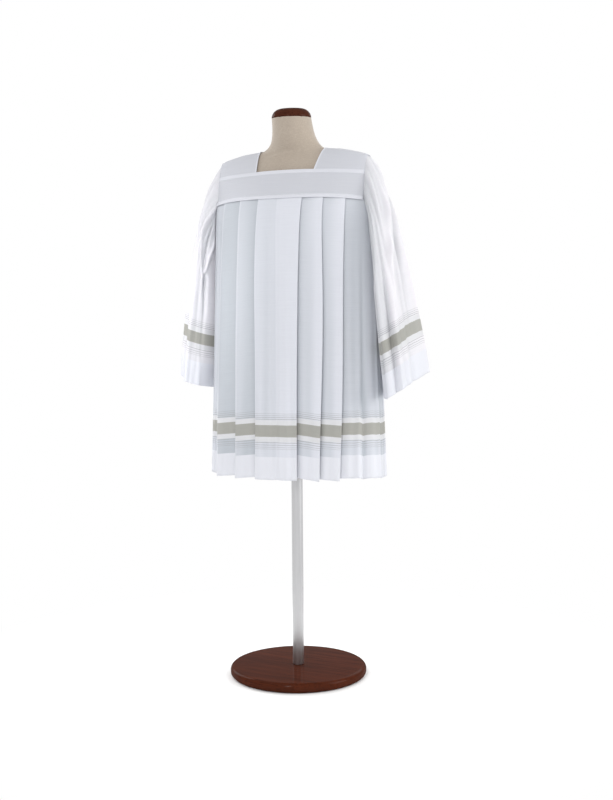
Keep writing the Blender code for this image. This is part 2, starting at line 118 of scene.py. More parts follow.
# Colours and surfaces; sizes of noise are repeats in each metre along each axis
WEAVE_PITCH = 0.0007
HEM_BLUR = 0.0004            # how far the edge of a doubled part blurs
BODY_SHEERNESS = 0.30
SLEEVE_SHEERNESS = 0.36      # the sleeves are empty, so more light comes through
SLUBS = (14.0, 420.0, 1.0)
SLUB_HEIGHT = 1.6            # against the height of the weave
WARP = (380.0, 9.0, 1.0)
WARP_SHARE = 0.12
CLOUDS = (9.0, 7.0, 1.0)
CLOUD_SHARE = 0.16
SATIN_FLOATS = (30.0, 900.0, 1.0)
SATIN_GLOSS = 0.26           # how much smoother the satin is
# the mix from single to layered cloth also carries painted light and shade
SINGLE = ((0.510, 0.545, 0.590), (0.590, 0.625, 0.665))
LAYERED = ((0.730, 0.745, 0.800), (0.800, 0.815, 0.865))
CLOUDY = (0.620, 0.640, 0.690)
HEM_WHITE = (0.810, 0.820, 0.865)
STRIP_WHITE = (0.735, 0.745, 0.795)
SATIN = ((0.700, 0.705, 0.730), (0.800, 0.802, 0.820))
LINE_GREY = (0.400, 0.405, 0.415)
BAND = ((0.400, 0.398, 0.370), (0.470, 0.465, 0.430))
# painted shade: the yokes and shoulders get a darker copy of the same cloth
YOKE_PAINTED_SHADE = (0.95, 0.935, 0.935)
# painted light: the sleeves get a whiter copy of the same cloth
SLEEVE_PAINTED_LIGHT = (1.12, 1.085, 1.055)
YOKE_LAYERS = 0.55           # how dense the cloth looks, from 0 single to 1 doubled
SLEEVE_LAYERS = 0.90
TWIST = (2600.0, 2600.0, 2600.0)
WHITE_THREAD = ((0.70, 0.71, 0.76), (0.84, 0.85, 0.89))
LINEN_WEFT = (90.0, 90.0, 1500.0)
LINEN_WARP = (1300.0, 1300.0, 80.0)
LINEN_FLECKS = (230.0, 230.0, 260.0)
LINEN_CLOUDS = (16.0, 16.0, 12.0)
LINEN = ((0.17, 0.135, 0.112), (0.50, 0.425, 0.345))
LINEN_FLECK = (0.27, 0.23, 0.19)
LINEN_CLOUD = (0.46, 0.41, 0.34)
WOOD_PORES = (9.0, 420.0, 420.0)
WOOD_FIGURE = (3.0, 38.0, 38.0)
CAP_WOOD = ((0.027, 0.008, 0.004), (0.074, 0.020, 0.009))
BASE_WOOD = ((0.024, 0.006, 0.003), (0.085, 0.019, 0.007))
BRUSH_LINES = (700.0, 700.0, 6.0)
STEEL = ((0.46, 0.46, 0.47), (0.62, 0.62, 0.63))

# Main sizes of the garment, as in the solids
HEM_HEIGHT = 0.578
HEM_TILT = 0.022
CHEST_SEAM = 1.350
CHEST_SEAM_DROP = 0.010
FRONT_NECK_SEAM = 1.427
BACK_NECK_SEAM = 1.440
NECK_SEAM_DROP = 0.008
ARMHOLE_X = 0.228
ARMHOLE_BEND = (1.6, 0.8)
UNDERARM_HEIGHT = 1.180
NECK_HALF_FRONT = 0.088
NECK_HALF_TOP = 0.100
SEAM = 0.0003
SHOULDER_ROUND = 0.012
FRONT_SLOPE = 0.85
BACK_SLOPE = 0.42
SIDE_SLOPE = 0.50
SHOULDER_HALF = 0.205
BODY_CLEARANCE = 0.0022

# Half width and depths of the body of the garment, without its pleats
BODY_ROWS = (
    # height, half_width, front_depth, back_depth
    (1.35, 0.245, 0.1, 0.112),
    (1.325, 0.246, 0.1065, 0.115),
    (1.29, 0.247, 0.1115, 0.1175),
    (1.24, 0.2485, 0.114, 0.119),
    (1.15, 0.251, 0.115, 0.12),
    (1.0, 0.255, 0.1165, 0.1215),
    (0.85, 0.259, 0.1185, 0.1235),
    (0.71, 0.2635, 0.1205, 0.125),
    (0.578, 0.2675, 0.123, 0.127),
)

# Ridge of the shoulders, from the neck outwards
SHOULDER_ROWS = (
    # x, height
    (0.0, 1.522),
    (0.062, 1.509),
    (0.08, 1.4945),
    (0.1, 1.488),
    (0.15, 1.482),
    (0.2, 1.471),
    (0.215, 1.4665),
    (0.228, 1.4615),
    (0.245, 1.448),
)

# Fold edges of the knife pleats, from the middle outwards
FRONT_FOLDS_LEFT = (
    # x at top, third and hem; waver, bulge, hem step; how doubled it looks at start and edge, partly
    # the pleats' real underlap and partly painted shade near the recesses
    (0.071, 0.063, 0.061, 0.0008, 0.0008, 0.0, 0.95, 1.0),
    (0.129, 0.1315, 0.1255, -0.0012, 0.0026, 0.0062, 0.45, 1.0),
    (0.186, 0.1845, 0.177, 0.0014, 0.0018, 0.003, 0.45, 1.0),
)
FRONT_FOLDS_RIGHT = (
    (0.06, 0.067, 0.0655, 0.001, 0.0006, 0.0, 0.7, 0.75),
    (0.123, 0.131, 0.138, -0.0012, 0.0024, 0.0052, 0.0, 0.45),
    (0.184, 0.201, 0.214, 0.001, 0.003, 0.0064, 0.0, 0.1),
)
BACK_FOLDS_LEFT = (
    (0.065, 0.064, 0.066, 0.0012, 0.0012, 0.0, 0.85, 0.95),
    (0.127, 0.13, 0.133, -0.0016, 0.0022, 0.0048, 0.15, 0.75),
    (0.184, 0.19, 0.196, 0.0016, 0.002, 0.0056, 0.1, 0.7),
)
BACK_FOLDS_RIGHT = (
    (0.065, 0.067, 0.066, -0.0012, 0.0014, 0.0, 0.85, 0.95),
    (0.127, 0.1285, 0.133, 0.0016, 0.0016, 0.004, 0.15, 0.75),
    (0.184, 0.188, 0.196, -0.0014, 0.0026, 0.006, 0.1, 0.7),
)
FACE_POINTS = 11                    # points across each face
SIDE_POINTS = 42                    # and across each side
THIRD_DOWN = 0.34                   # height of the second place of a fold edge
BODY_ROWS_DOWN = ((0.0, 0.06, 9), (0.06, 0.78, 40), (0.78, 1.0, 26))
PLEAT_OPENING = 0.7                 # how soon the pleats open on the way down
FACE_RISE = 0.8                     # how soon a face comes forward towards its edge
EDGE_STEP = -0.3                    # share of the hem step at a fold edge
BACK_STEP = 0.5                     # and at the back of the fold
PLEAT_STEP = (0.0018, 0.0066)       # half the height of a pleat, top and hem
PLEAT_UNDERLAP = (0.016, 0.013)
PLEAT_ROUND = 0.0007                # half the thickness of a pressed fold edge
CENTRE_CREASE = (0.0008, 0.0052)
CENTRE_CREASE_WIDTH = 0.017
SIDE_FOLDS = (
    # place, spread, depth at the hem; place runs from the last pleat to the side
    (0.14, 0.07, 0.0034),
    (0.31, 0.07, 0.0062),
    (0.41, 0.045, -0.0066),
    (0.6, 0.1, 0.0042),
    (0.82, 0.06, 0.0052),
    (0.91, 0.045, -0.0054),
)
SIDE_LAYERS = 0.40                  # how much cloth seems to lie behind the sides
SIDE_FOLD_PAINTED_LIGHT = 75.0                 # painted light added for each metre of fold height on the sides, painted shade where the fold sinks
BODY_CREASE_PAINTED_LIGHT = 0.28                 # painted light on a full raised crease and painted shade in a full sunk one
STREAK_DEPTH = 0.003                # depth of a full crease
SIDE_STEP = 0.0050                  # hem step where the side begins

CREASE_FADE = 0.05                  # a crease fades out over this much past its ends
CREASE_EDGE = (0.030, 0.02)         # all end this far past the armhole, over this width

# Soft creases of the body, listed one by one
FRONT_CREASES = (
    # x_top, z_top, x_low, z_low, spread, depth at top, depth at the low end
    (-0.205, 1.3, -0.214, 0.96, 0.0085, -0.002, -0.0042),
    (-0.16, 1.06, -0.172, 0.6, 0.012, -0.0008, -0.004),
    (-0.098, 0.96, -0.104, 0.58, 0.013, -0.0004, -0.0034),
    (-0.03, 1.28, -0.034, 0.7, 0.009, -0.001, -0.0024),
    (-0.05, 0.9, -0.048, 0.6, 0.008, 0.0004, 0.002),
    (0.03, 1.16, 0.034, 0.62, 0.008, 0.0008, 0.0022),
    (0.05, 0.98, 0.048, 0.6, 0.007, -0.0002, -0.0018),
    (0.098, 1.2, 0.094, 0.6, 0.01, -0.001, -0.004),
    (0.155, 1.06, 0.152, 0.6, 0.009, -0.0008, -0.003),
    (0.214, 1.24, 0.216, 0.9, 0.012, -0.001, -0.0024),
    (0.226, 0.8, 0.224, 0.72, 0.015, -0.004, -0.001),
)
BACK_CREASES = (
    (-0.21, 1.29, -0.216, 0.9, 0.0095, -0.0016, -0.004),
    (-0.158, 1.08, -0.17, 0.6, 0.012, -0.0004, -0.0026),
    (-0.1, 0.96, -0.098, 0.58, 0.013, -0.0004, -0.0028),
    (-0.035, 1.2, -0.03, 0.66, 0.011, -0.0006, -0.0016),
    (0.033, 1.06, 0.036, 0.6, 0.01, 0.0004, 0.0014),
    (0.097, 1.14, 0.1, 0.62, 0.012, -0.0004, -0.003),
    (0.16, 0.98, 0.168, 0.59, 0.011, -0.0004, -0.0022),
    (0.212, 1.26, 0.218, 0.86, 0.011, -0.0012, -0.0034),
)

# The sleeve, from the armhole down to the cuff
SLEEVE_ROWS = (
    # down, outer_x, outer_z, inner_x, inner_z, middle_y, half_depth, free
    (0 / 9, 0.229, 1.461, 0.2515, 1.18, 0.0, 0.04, 0.0),
    (1 / 9, 0.25, 1.433, 0.2525, 1.17, -0.001, 0.055, 0.4),
    (2 / 9, 0.269, 1.386, 0.254, 1.15, 0.0, 0.067, 0.8),
    (3 / 9, 0.283, 1.325, 0.2555, 1.12, 0.004, 0.076, 1.0),
    (4 / 9, 0.298, 1.255, 0.257, 1.08, 0.009, 0.084, 1.0),
    (5 / 9, 0.314, 1.175, 0.259, 1.03, 0.014, 0.091, 1.0),
    (6 / 9, 0.331, 1.09, 0.262, 0.971, 0.02, 0.098, 1.0),
    (7 / 9, 0.346, 1.004, 0.265, 0.913, 0.028, 0.106, 1.0),
    (8 / 9, 0.357, 0.93, 0.269, 0.859, 0.036, 0.113, 1.0),
    (9 / 9, 0.365, 0.862, 0.272, 0.805, 0.042, 0.12, 1.0),
)
LEFT_CUFF_SLANT = 0.022
RIGHT_CUFF_SLANT = -0.008
CUFF_RISE = 0.012            # the cuff is this much higher beside the body
ARMHOLE_TUCK = 0.985         # the sleeve starts just under the edge of the armhole
ARMHOLE_REACH = 0.0030       # and this far inside it
SLEEVE_POINTS = 168          # points around a sleeve
SLEEVE_ROWS_DOWN = ((0.0, 0.12, 12), (0.12, 0.74, 38), (0.74, 1.0, 30))
SLEEVE_FOLD_PAINTED_LIGHT = 0.45          # painted light on the ridge of a full fold and painted shade in its trough
FULL_FOLD = 0.016
LEFT_PAINTED_SHADE = 1.30            # how much painted shade darkens the sleeve beside the body
RIGHT_PAINTED_SHADE = 0.30
SHADE_PLACE = (0.21, 0.10)   # turns of the painted shade from the inner side, and spread
SHADE_HEIGHT = 0.30          # the painted shade of the upper part starts this far above the cuff
# painted shade over the upper part of each sleeve
UPPER_PAINTED_SHADE = 0.25
SLEEVE_FOLDS = (
    # turn, spread, depth at armhole, halfway, cuff
    (0.075, 0.03, 0.0, -0.005, -0.002),
    (0.135, 0.03, 0.0, 0.005, 0.004),
    (0.195, 0.028, 0.0, -0.0075, -0.005),
    (0.255, 0.03, 0.0, 0.006, 0.0055),
    (0.32, 0.03, 0.0, -0.007, -0.003),
    (0.7, 0.032, 0.0, -0.006, -0.004),
    (0.765, 0.032, 0.0, 0.0055, 0.005),
    (0.83, 0.03, 0.0, -0.0065, -0.004),
    (0.9, 0.032, 0.0, 0.0045, 0.003),
)

# Finer creases of the sleeves; turn 0 is the outer side, 0.25 the front
LEFT_CREASES = (
    # turn_top, down_top, turn_low, down_low, spread, depth at top, depth at the low end
    (-0.055, 0.1, 0.085, 0.48, 0.022, 0.007, 0.011),
    (0.085, 0.48, 0.15, 0.8, 0.022, 0.011, 0.004),
    (-0.12, 0.14, -0.005, 0.5, 0.022, -0.01, -0.0135),
    (-0.005, 0.5, 0.03, 0.84, 0.022, -0.0135, -0.005),
    (0.285, 0.05, 0.262, 0.4, 0.013, -0.01, -0.006),
    (0.33, 0.08, 0.305, 0.4, 0.014, 0.007, 0.004),
    (0.375, 0.08, 0.345, 0.46, 0.014, -0.008, -0.006),
    (0.16, 0.05, 0.135, 0.5, 0.016, -0.012, -0.006),
    (0.215, 0.16, 0.2, 0.66, 0.017, 0.0075, 0.005),
    (0.32, 0.46, 0.3, 0.72, 0.05, 0.005, 0.005),
    (0.24, 0.03, 0.226, 0.24, 0.009, -0.0075, -0.005),
    (0.206, 0.03, 0.186, 0.22, 0.009, 0.006, 0.005),
    (0.112, 0.03, 0.094, 0.3, 0.011, -0.0085, -0.004),
    (0.07, 0.04, 0.04, 0.34, 0.012, 0.007, 0.005),
    (0.022, 0.04, -0.012, 0.3, 0.013, -0.007, -0.003),
    (0.33, 0.9, 0.33, 1.0, 0.04, -0.001, -0.008),
    (0.192, 0.62, 0.19, 1.0, 0.012, -0.005, -0.0056),
    (0.156, 0.7, 0.15, 0.98, 0.012, 0.0034, 0.004),
    (0.122, 0.6, 0.118, 1.0, 0.011, -0.0044, -0.005),
    (0.088, 0.68, 0.092, 0.94, 0.011, 0.003, 0.003),
    (0.056, 0.62, 0.064, 1.0, 0.011, -0.0036, -0.0044),
    (0.735, 0.05, 0.755, 0.52, 0.014, -0.007, -0.001),
    (0.8, 0.08, 0.84, 0.66, 0.024, 0.0046, 0.0066),
    (0.655, 0.16, 0.7, 0.56, 0.016, -0.006, -0.0012),
    (0.79, 0.62, 0.795, 1.0, 0.012, -0.002, -0.006),
    (0.85, 0.7, 0.855, 1.0, 0.01, -0.001, -0.0046),
)
RIGHT_CREASES = (
    (0.4, 0.16, 0.33, 0.44, 0.014, 0.008, 0.011),
    (0.24, 0.22, 0.325, 0.4, 0.012, 0.006, 0.01),
    (0.32, 0.18, 0.34, 0.34, 0.011, -0.011, -0.006),
    (0.36, 0.4, 0.375, 0.56, 0.015, -0.012, -0.005),
    (0.375, 0.4, 0.36, 0.8, 0.014, -0.005, -0.0024),
    (0.33, 0.46, 0.318, 0.9, 0.015, 0.0036, 0.002),
    (0.29, 0.05, 0.262, 0.52, 0.014, -0.006, -0.002),
    (0.235, 0.08, 0.205, 0.6, 0.02, 0.004, 0.005),
    (0.185, 0.05, 0.16, 0.66, 0.014, -0.0056, -0.002),
    (0.285, 0.74, 0.28, 1.0, 0.013, -0.0012, -0.0044),
    (0.35, 0.8, 0.35, 1.0, 0.016, 0.001, 0.004),
    (0.225, 0.7, 0.222, 1.0, 0.012, -0.001, -0.0044),
    (0.262, 0.03, 0.25, 0.26, 0.009, 0.006, 0.0045),
    (0.222, 0.03, 0.215, 0.2, 0.01, -0.007, -0.004),
    (0.13, 0.03, 0.112, 0.28, 0.012, -0.007, -0.0035),
    (0.1, 0.1, 0.05, 0.62, 0.026, 0.005, 0.007),
    (0.02, 0.12, -0.01, 0.72, 0.024, -0.0056, -0.004),
    (0.11, 0.66, 0.112, 1.0, 0.012, -0.0016, -0.005),
    (0.72, 0.05, 0.745, 0.5, 0.015, -0.0066, -0.0012),
    (0.81, 0.06, 0.85, 0.7, 0.024, 0.0046, 0.006),
    (0.89, 0.1, 0.905, 0.6, 0.018, -0.0056, -0.002),
    (0.78, 0.64, 0.79, 1.0, 0.012, -0.002, -0.0056),
    (0.86, 0.74, 0.865, 1.0, 0.01, -0.001, -0.004),
)

# The form
BASE_RADIUS = 0.195
BASE_THICKNESS = 0.028
POLE_RADIUS = 0.016
TORSO_BOTTOM = 0.800
NECK_LEAN = math.radians(15)
NECK_UPRIGHT = 1.517
NECK_TOP = 1.573
CAP_RADIUS = 0.0550
CAP_LEAN = math.radians(2)
CAP_HEIGHT = 0.025
CAP_TOP = 0.96              # width of the cap's top against its foot
NECK_ROOT = (1.475, 1.555)  # the neck is smoothed between these heights
NECK_ROOT_HALF = 0.080      # and this far to each side
NECK_ROOT_PASSES = 8
CORNER = math.radians(45)   # edges sharper than this stay crisp

# Offset and segments of the rounded rims
BASE_RIM = (0.0115, 10)
CAP_TOP_RIM = (0.0230, 16)
CAP_FOOT_RIM = (0.0015, 4)
POLE_RIM = (0.0012, 4)


# Small tools

def lerp(a, b, t):
    return a + (b - a) * t


def smooth(t):
    t = np.clip(t, 0.0, 1.0)
    return t * t * (3.0 - 2.0 * t)


def read_row(rows, keys, column):
    """Read one column of a table at many places, on a smooth curve."""
    table = np.array(sorted(rows))
    places, values = table[:, 0], table[:, column]
    widths = np.diff(places)
    slopes = np.diff(values) / widths
    bends = np.zeros(len(places))
    bends[0], bends[-1] = slopes[0], slopes[-1]
    for at in range(1, len(slopes)):
        before, after = slopes[at - 1], slopes[at]
        if before * after > 0.0:
            bends[at] = 2.0 * before * after / (before + after)
    keys = np.clip(np.asarray(keys, float), places[0], places[-1])
    at = np.clip(np.searchsorted(places, keys) - 1, 0, len(widths) - 1)
    width = widths[at]
    t = (keys - places[at]) / width
    return ((1 + 2 * t) * (1 - t) ** 2 * values[at] + t ** 2 * (3 - 2 * t) * values[at + 1]
            + width * t * (1 - t) * ((1 - t) * bends[at] - t * bends[at + 1]))


def body_size(height, facing):
    return read_row(BODY_ROWS, height, 1), read_row(BODY_ROWS, height, 2 if facing < 0 else 3)


def body_point(turn, height, facing, lift=0.0):
    """Points at angles from the middle of the front or back, moved outwards."""
    half_width, depth = body_size(height, facing)
    normal_x = depth * np.sin(turn)
    normal_y = half_width * np.cos(turn)
    size = np.hypot(normal_x, normal_y)
    x = half_width * np.sin(turn) + lift * normal_x / size
    y = facing * (depth * np.cos(turn) + lift * normal_y / size)
    return np.stack(np.broadcast_arrays(x, y, height), axis=-1)


def low_depth(x, facing):
    half_width, depth = body_size(CHEST_SEAM, facing)
    return depth * np.sqrt(1.0 - (x / half_width) ** 2)


def ridge_height(x):
    return read_row(SHOULDER_ROWS, np.abs(x), 1)


def slope_power(x, facing):
    share = np.minimum(np.abs(x) / SHOULDER_HALF, 1.1)
    return lerp(FRONT_SLOPE if facing < 0 else BACK_SLOPE, SIDE_SLOPE, share)


def blunted(depth):
    return np.hypot(depth, SHOULDER_ROUND) - SHOULDER_ROUND


def upper_y(x, height, facing):
    """Where the yoke or shoulder lies, at one width and height."""
    ridge = ridge_height(x)
    share = (np.maximum(ridge - height, 0.0) / (ridge - CHEST_SEAM)) ** slope_power(x, facing)
    depth = blunted(low_depth(x, facing)) * share + SHOULDER_ROUND
    return facing * np.sqrt(depth ** 2 - SHOULDER_ROUND ** 2)


def upper_z(x, y, facing):
    share = blunted(np.abs(y)) / blunted(low_depth(x, facing))
    drop = (ridge_height(x) - CHEST_SEAM) * share ** (1.0 / slope_power(x, facing))
    return ridge_height(x) - drop


def chest_seam(x):
    return CHEST_SEAM - CHEST_SEAM_DROP * np.minimum(np.abs(x) / ARMHOLE_X, 1.0) ** 4


def neck_seam(x, facing):
    middle = FRONT_NECK_SEAM if facing < 0 else BACK_NECK_SEAM
    return middle - NECK_SEAM_DROP * (np.abs(x) / ARMHOLE_X) ** 2


def cloth_y(x, height, facing):
    """Depth of the cloth just above or below the chest seam."""
    half_width, depth = body_size(np.minimum(height, CHEST_SEAM), facing)
    below = facing * depth * np.sqrt(np.maximum(1.0 - (x / half_width) ** 2, 0.0))
    return np.where(height >= CHEST_SEAM, upper_y(x, np.maximum(height, CHEST_SEAM), facing), below)


def creases(table, across, down, round_trip=False):
    """Height of soft creases; each runs from a top place to a low place."""
    height = np.zeros(np.broadcast(across, down).shape)
    for top_a, top_d, low_a, low_d, spread, top_depth, end_depth in table:
        share = (down - top_d) / (low_d - top_d)
        inside = np.clip(share, 0.0, 1.0)
        past = np.abs(share - inside) * abs(low_d - top_d)
        away = across - lerp(top_a, low_a, inside)
        if round_trip:
            away = away - np.round(away)
        depth = lerp(top_depth, end_depth, inside) * np.exp(-(past / CREASE_FADE) ** 2)
        height = height + depth * np.exp(-(away / spread) ** 2)
    return height


def outward(grid, facing):
    """Unit normals of a grid of points, on the right side of the cloth."""
    along = np.gradient(grid, axis=1)
    down = np.gradient(grid, axis=0)
    normal = np.cross(down, along) * facing
    return normal / np.maximum(np.linalg.norm(normal, axis=-1, keepdims=True), 1e-12)


def run_lengths(grid, axis):
    """Length along the cloth from the first point of each row or column."""
    steps = np.linalg.norm(np.diff(grid, axis=axis), axis=-1)
    start = np.zeros_like(np.take(steps, [0], axis=axis))
    return np.cumsum(np.concatenate([start, steps], axis=axis), axis=axis)


def row_places(spans):
    """Places of the rows of points, from the top to the lower edge."""
    upper = [np.linspace(*span, endpoint=False) for span in spans[:-1]]
    return np.concatenate(upper + [np.linspace(*spans[-1])])


# Meshes

def new_piece(mesh, material):
    mesh.shade_smooth()
    mesh.materials.append(material)
    piece = bpy.data.objects.new(mesh.name, mesh)
    bpy.context.scene.collection.objects.link(piece)
    return piece


def carried(piece, node=None):
    """Let a piece ride on the body and show in place of its solid."""
    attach(piece, "root")
    if node:
        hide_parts(node)


def cloth_mesh(node, grid, cut, from_edge, layers_and_painted_light, closed, turned, material):
    """A thin shell from a grid of points, with the cut's flat sizes as its UV map."""
    rows, columns = grid.shape[:2]
    around = columns if closed else columns - 1
    row = np.arange(rows - 1)[:, None]
    column = np.arange(around)[None, :]
    beside = (column + 1) % columns
    corners = [(row, column), (row, beside), (row + 1, beside), (row + 1, column)]
    flat_corners = [(row, column), (row, column + 1), (row + 1, column + 1), (row + 1, column)]
    if turned:
        corners.reverse()
        flat_corners.reverse()
    faces = np.stack([r * columns + c for r, c in corners], axis=-1).reshape(-1, 4)
    mesh = bpy.data.meshes.new(node + "_cloth")
    mesh.from_pydata(grid.reshape(-1, 3).tolist(), [], faces.tolist())
    layer = mesh.uv_layers.new(name="cut")
    flat = np.stack([cut[r, c] for r, c in flat_corners], axis=-2).reshape(-1, 2)
    layer.uv.foreach_set("vector", flat.astype(np.float32).ravel())
    for label, values in (("from_edge", from_edge), ("layers_and_painted_light", layers_and_painted_light)):
        attribute = mesh.attributes.new(label, "FLOAT", "POINT")
        attribute.data.foreach_set("value", values.astype(np.float32).ravel())
    piece = new_piece(mesh, material)
    wall = piece.modifiers.new("cloth", "SOLIDIFY")
    wall.thickness = CLOTH
    wall.offset = 0.0
    return piece


def turned_up(grid, cut, inner, depth):
    """Adds a hem: the cloth turns in at its lower edge and runs up inside."""
    columns = grid.shape[1]
    taken = [r for r in range(len(grid) - 1, -1, -1) if cut[r, :columns, 1].mean() <= depth + 1e-4]
    fold = grid[-1] + inner[-1] * HEM_LAYER * 0.5
    fold[:, 2] -= HEM_LAYER * 0.4
    layers = [fold[None]] + [(grid[r] + inner[r] * HEM_LAYER)[None] for r in taken]
    flat = [cut[-1] * (1, 0) - (0, HEM_LAYER)]
    flat += [cut[-1] * (1, 0) - (0, 1) * cut[r, :, 1:2] - (0, HEM_LAYER) for r in taken]
    return np.concatenate([grid] + layers), np.concatenate([cut, np.stack(flat)])


def under_hem(values, rows):
    """Carry a value of the last row over to the rows of the turned up hem."""
    return np.concatenate([values, np.repeat(values[-1:], rows - len(values), axis=0)])


def stitch_line(points, normals):
    """Starts, ends and normals of the stitches along a line on the cloth."""
    steps = np.linalg.norm(np.diff(points, axis=0), axis=1)
    reach = np.concatenate([[0.0], np.cumsum(steps)])
    starts = np.arange(STITCH_PITCH, reach[-1] - STITCH_PITCH, STITCH_PITCH)

    def read(values, places):
        return np.stack([np.interp(places, reach, values[:, axis]) for axis in range(3)], axis=-1)

    ends = read(points, starts + STITCH_LENGTH)
    return list(zip(read(points, starts), ends, read(normals, starts)))


def stitching(name, found, material):
    """One mesh of short, slim stitches that lie on the cloth."""
    points, faces = [], []
    for start, end, normal in found:
        along = end - start
        along /= max(np.linalg.norm(along), 1e-9)
        normal = normal / max(np.linalg.norm(normal), 1e-9)
        beside = np.cross(along, normal)
        first = len(points)
        lift = normal * (CLOTH / 2 + THREAD * 0.5)
        points.append(start + lift * 0.4)
        for share in (0.22, 0.78):
            middle = start + (end - start) * share + lift
            for out, up in ((1, 0), (0, 1), (-1, 0), (0, -1)):
                points.append(middle + (beside * out + normal * up) * THREAD)
        points.append(end + lift * 0.4)
        for k in range(4):
            n = (k + 1) % 4
            faces.append((first, first + 1 + n, first + 1 + k))
            faces.append((first + 1 + k, first + 1 + n, first + 5 + n, first + 5 + k))
            faces.append((first + 9, first + 5 + k, first + 5 + n))
    mesh = bpy.data.meshes.new(name)
    mesh.from_pydata([tuple(p) for p in points], [], faces)
    return new_piece(mesh, material)


# Materials

def new_material(name):
    material = bpy.data.materials.new(name)
    material.use_nodes = True
    tree = material.node_tree
    return material, tree, tree.nodes["Principled BSDF"]


def object_place(tree):
    return tree.nodes.new("ShaderNodeTexCoord").outputs["Object"]


def read_value(tree, label):
    node = tree.nodes.new("ShaderNodeAttribute")
    node.attribute_name = label
    return node.outputs["Fac"]


def feed(tree, socket, value):
    """Set a socket to a number or a colour, or link an output to it."""
    if isinstance(value, (int, float)):
        socket.default_value = value
    elif isinstance(value, tuple):
        socket.default_value = (*value, 1.0)
    else:
        tree.links.new(value, socket)


def feed_all(tree, node, values):
    for label, value in values.items():
        feed(tree, node.inputs[label], value)


def math_node(tree, kind, first, second=None, third=None):
    node = tree.nodes.new("ShaderNodeMath")
    node.operation = kind
    for socket, value in zip(node.inputs, (first, second, third)):
        if value is not None:
            feed(tree, socket, value)
    return node.outputs[0]


def times(tree, first, second):
    return math_node(tree, "MULTIPLY", first, second)


def mix_colour(tree, factor, first, second, blend="MIX"):
    node = tree.nodes.new("ShaderNodeMix")
    node.data_type = "RGBA"
    node.blend_type = blend
    for socket, value in ((0, factor), (6, first), (7, second)):
        feed(tree, node.inputs[socket], value)
    return node.outputs[2]


def share_between(tree, value, low, high, kind="LINEAR"):
    """How far a value has come from one limit to the other."""
    node = tree.nodes.new("ShaderNodeMapRange")
    node.interpolation_type = kind
    feed_all(tree, node, {"From Min": low, "From Max": high, "Value": value})
    return node.outputs["Result"]


def show_mix(tree, factor, first, second):
    """Give the surface a mix of two shaders."""
    node = tree.nodes.new("ShaderNodeMixShader")
    for socket, value in ((0, factor), (1, first), (2, second)):
        feed(tree, node.inputs[socket], value)
    tree.links.new(node.outputs[0], tree.nodes["Material Output"].inputs["Surface"])


def noise(tree, vector, size, detail=2.0):
    """Noise with its own size along each of the vector's axes."""
    mapping = tree.nodes.new("ShaderNodeMapping")
    mapping.inputs["Scale"].default_value = size
    tree.links.new(vector, mapping.inputs["Vector"])
    node = tree.nodes.new("ShaderNodeTexNoise")
    feed_all(tree, node, {"Scale": 1.0, "Detail": detail, "Vector": mapping.outputs["Vector"]})
    return node.outputs["Fac"]


def bump(tree, height, strength, distance, shader):
    node = tree.nodes.new("ShaderNodeBump")
    feed_all(tree, node, {"Strength": strength, "Distance": distance, "Height": height})
    tree.links.new(node.outputs["Normal"], shader.inputs["Normal"])
    return node.outputs["Normal"]


def woven_stripes(tree, place, up, colour, roughness):
    """Fine grey lines, then satin, and a grey band between the satin."""
    lines = 0.0
    for edge, sign, offsets in ((GREY_LOW - SATIN_WIDTH, -1, LOW_LINES),
                                (GREY_HIGH + SATIN_WIDTH, 1, HIGH_LINES)):
        for offset, depth in zip(offsets, LINE_DEPTHS):
            line = math_node(tree, "COMPARE", up, edge + sign * offset, LINE_WIDTH / 2)
            lines = math_node(tree, "ADD", lines, times(tree, line, depth))
    middle = (GREY_LOW + GREY_HIGH) / 2
    half = (GREY_HIGH - GREY_LOW) / 2
    satin = math_node(tree, "COMPARE", up, middle, half + SATIN_WIDTH)
    grey = math_node(tree, "COMPARE", up, middle, half)
    floats = noise(tree, place, SATIN_FLOATS)
    colour = mix_colour(tree, lines, colour, LINE_GREY)
    colour = mix_colour(tree, satin, colour, mix_colour(tree, floats, *SATIN))
    colour = mix_colour(tree, grey, colour, mix_colour(tree, floats, *BAND))
    return colour, math_node(tree, "MULTIPLY_ADD", satin, -SATIN_GLOSS, roughness)


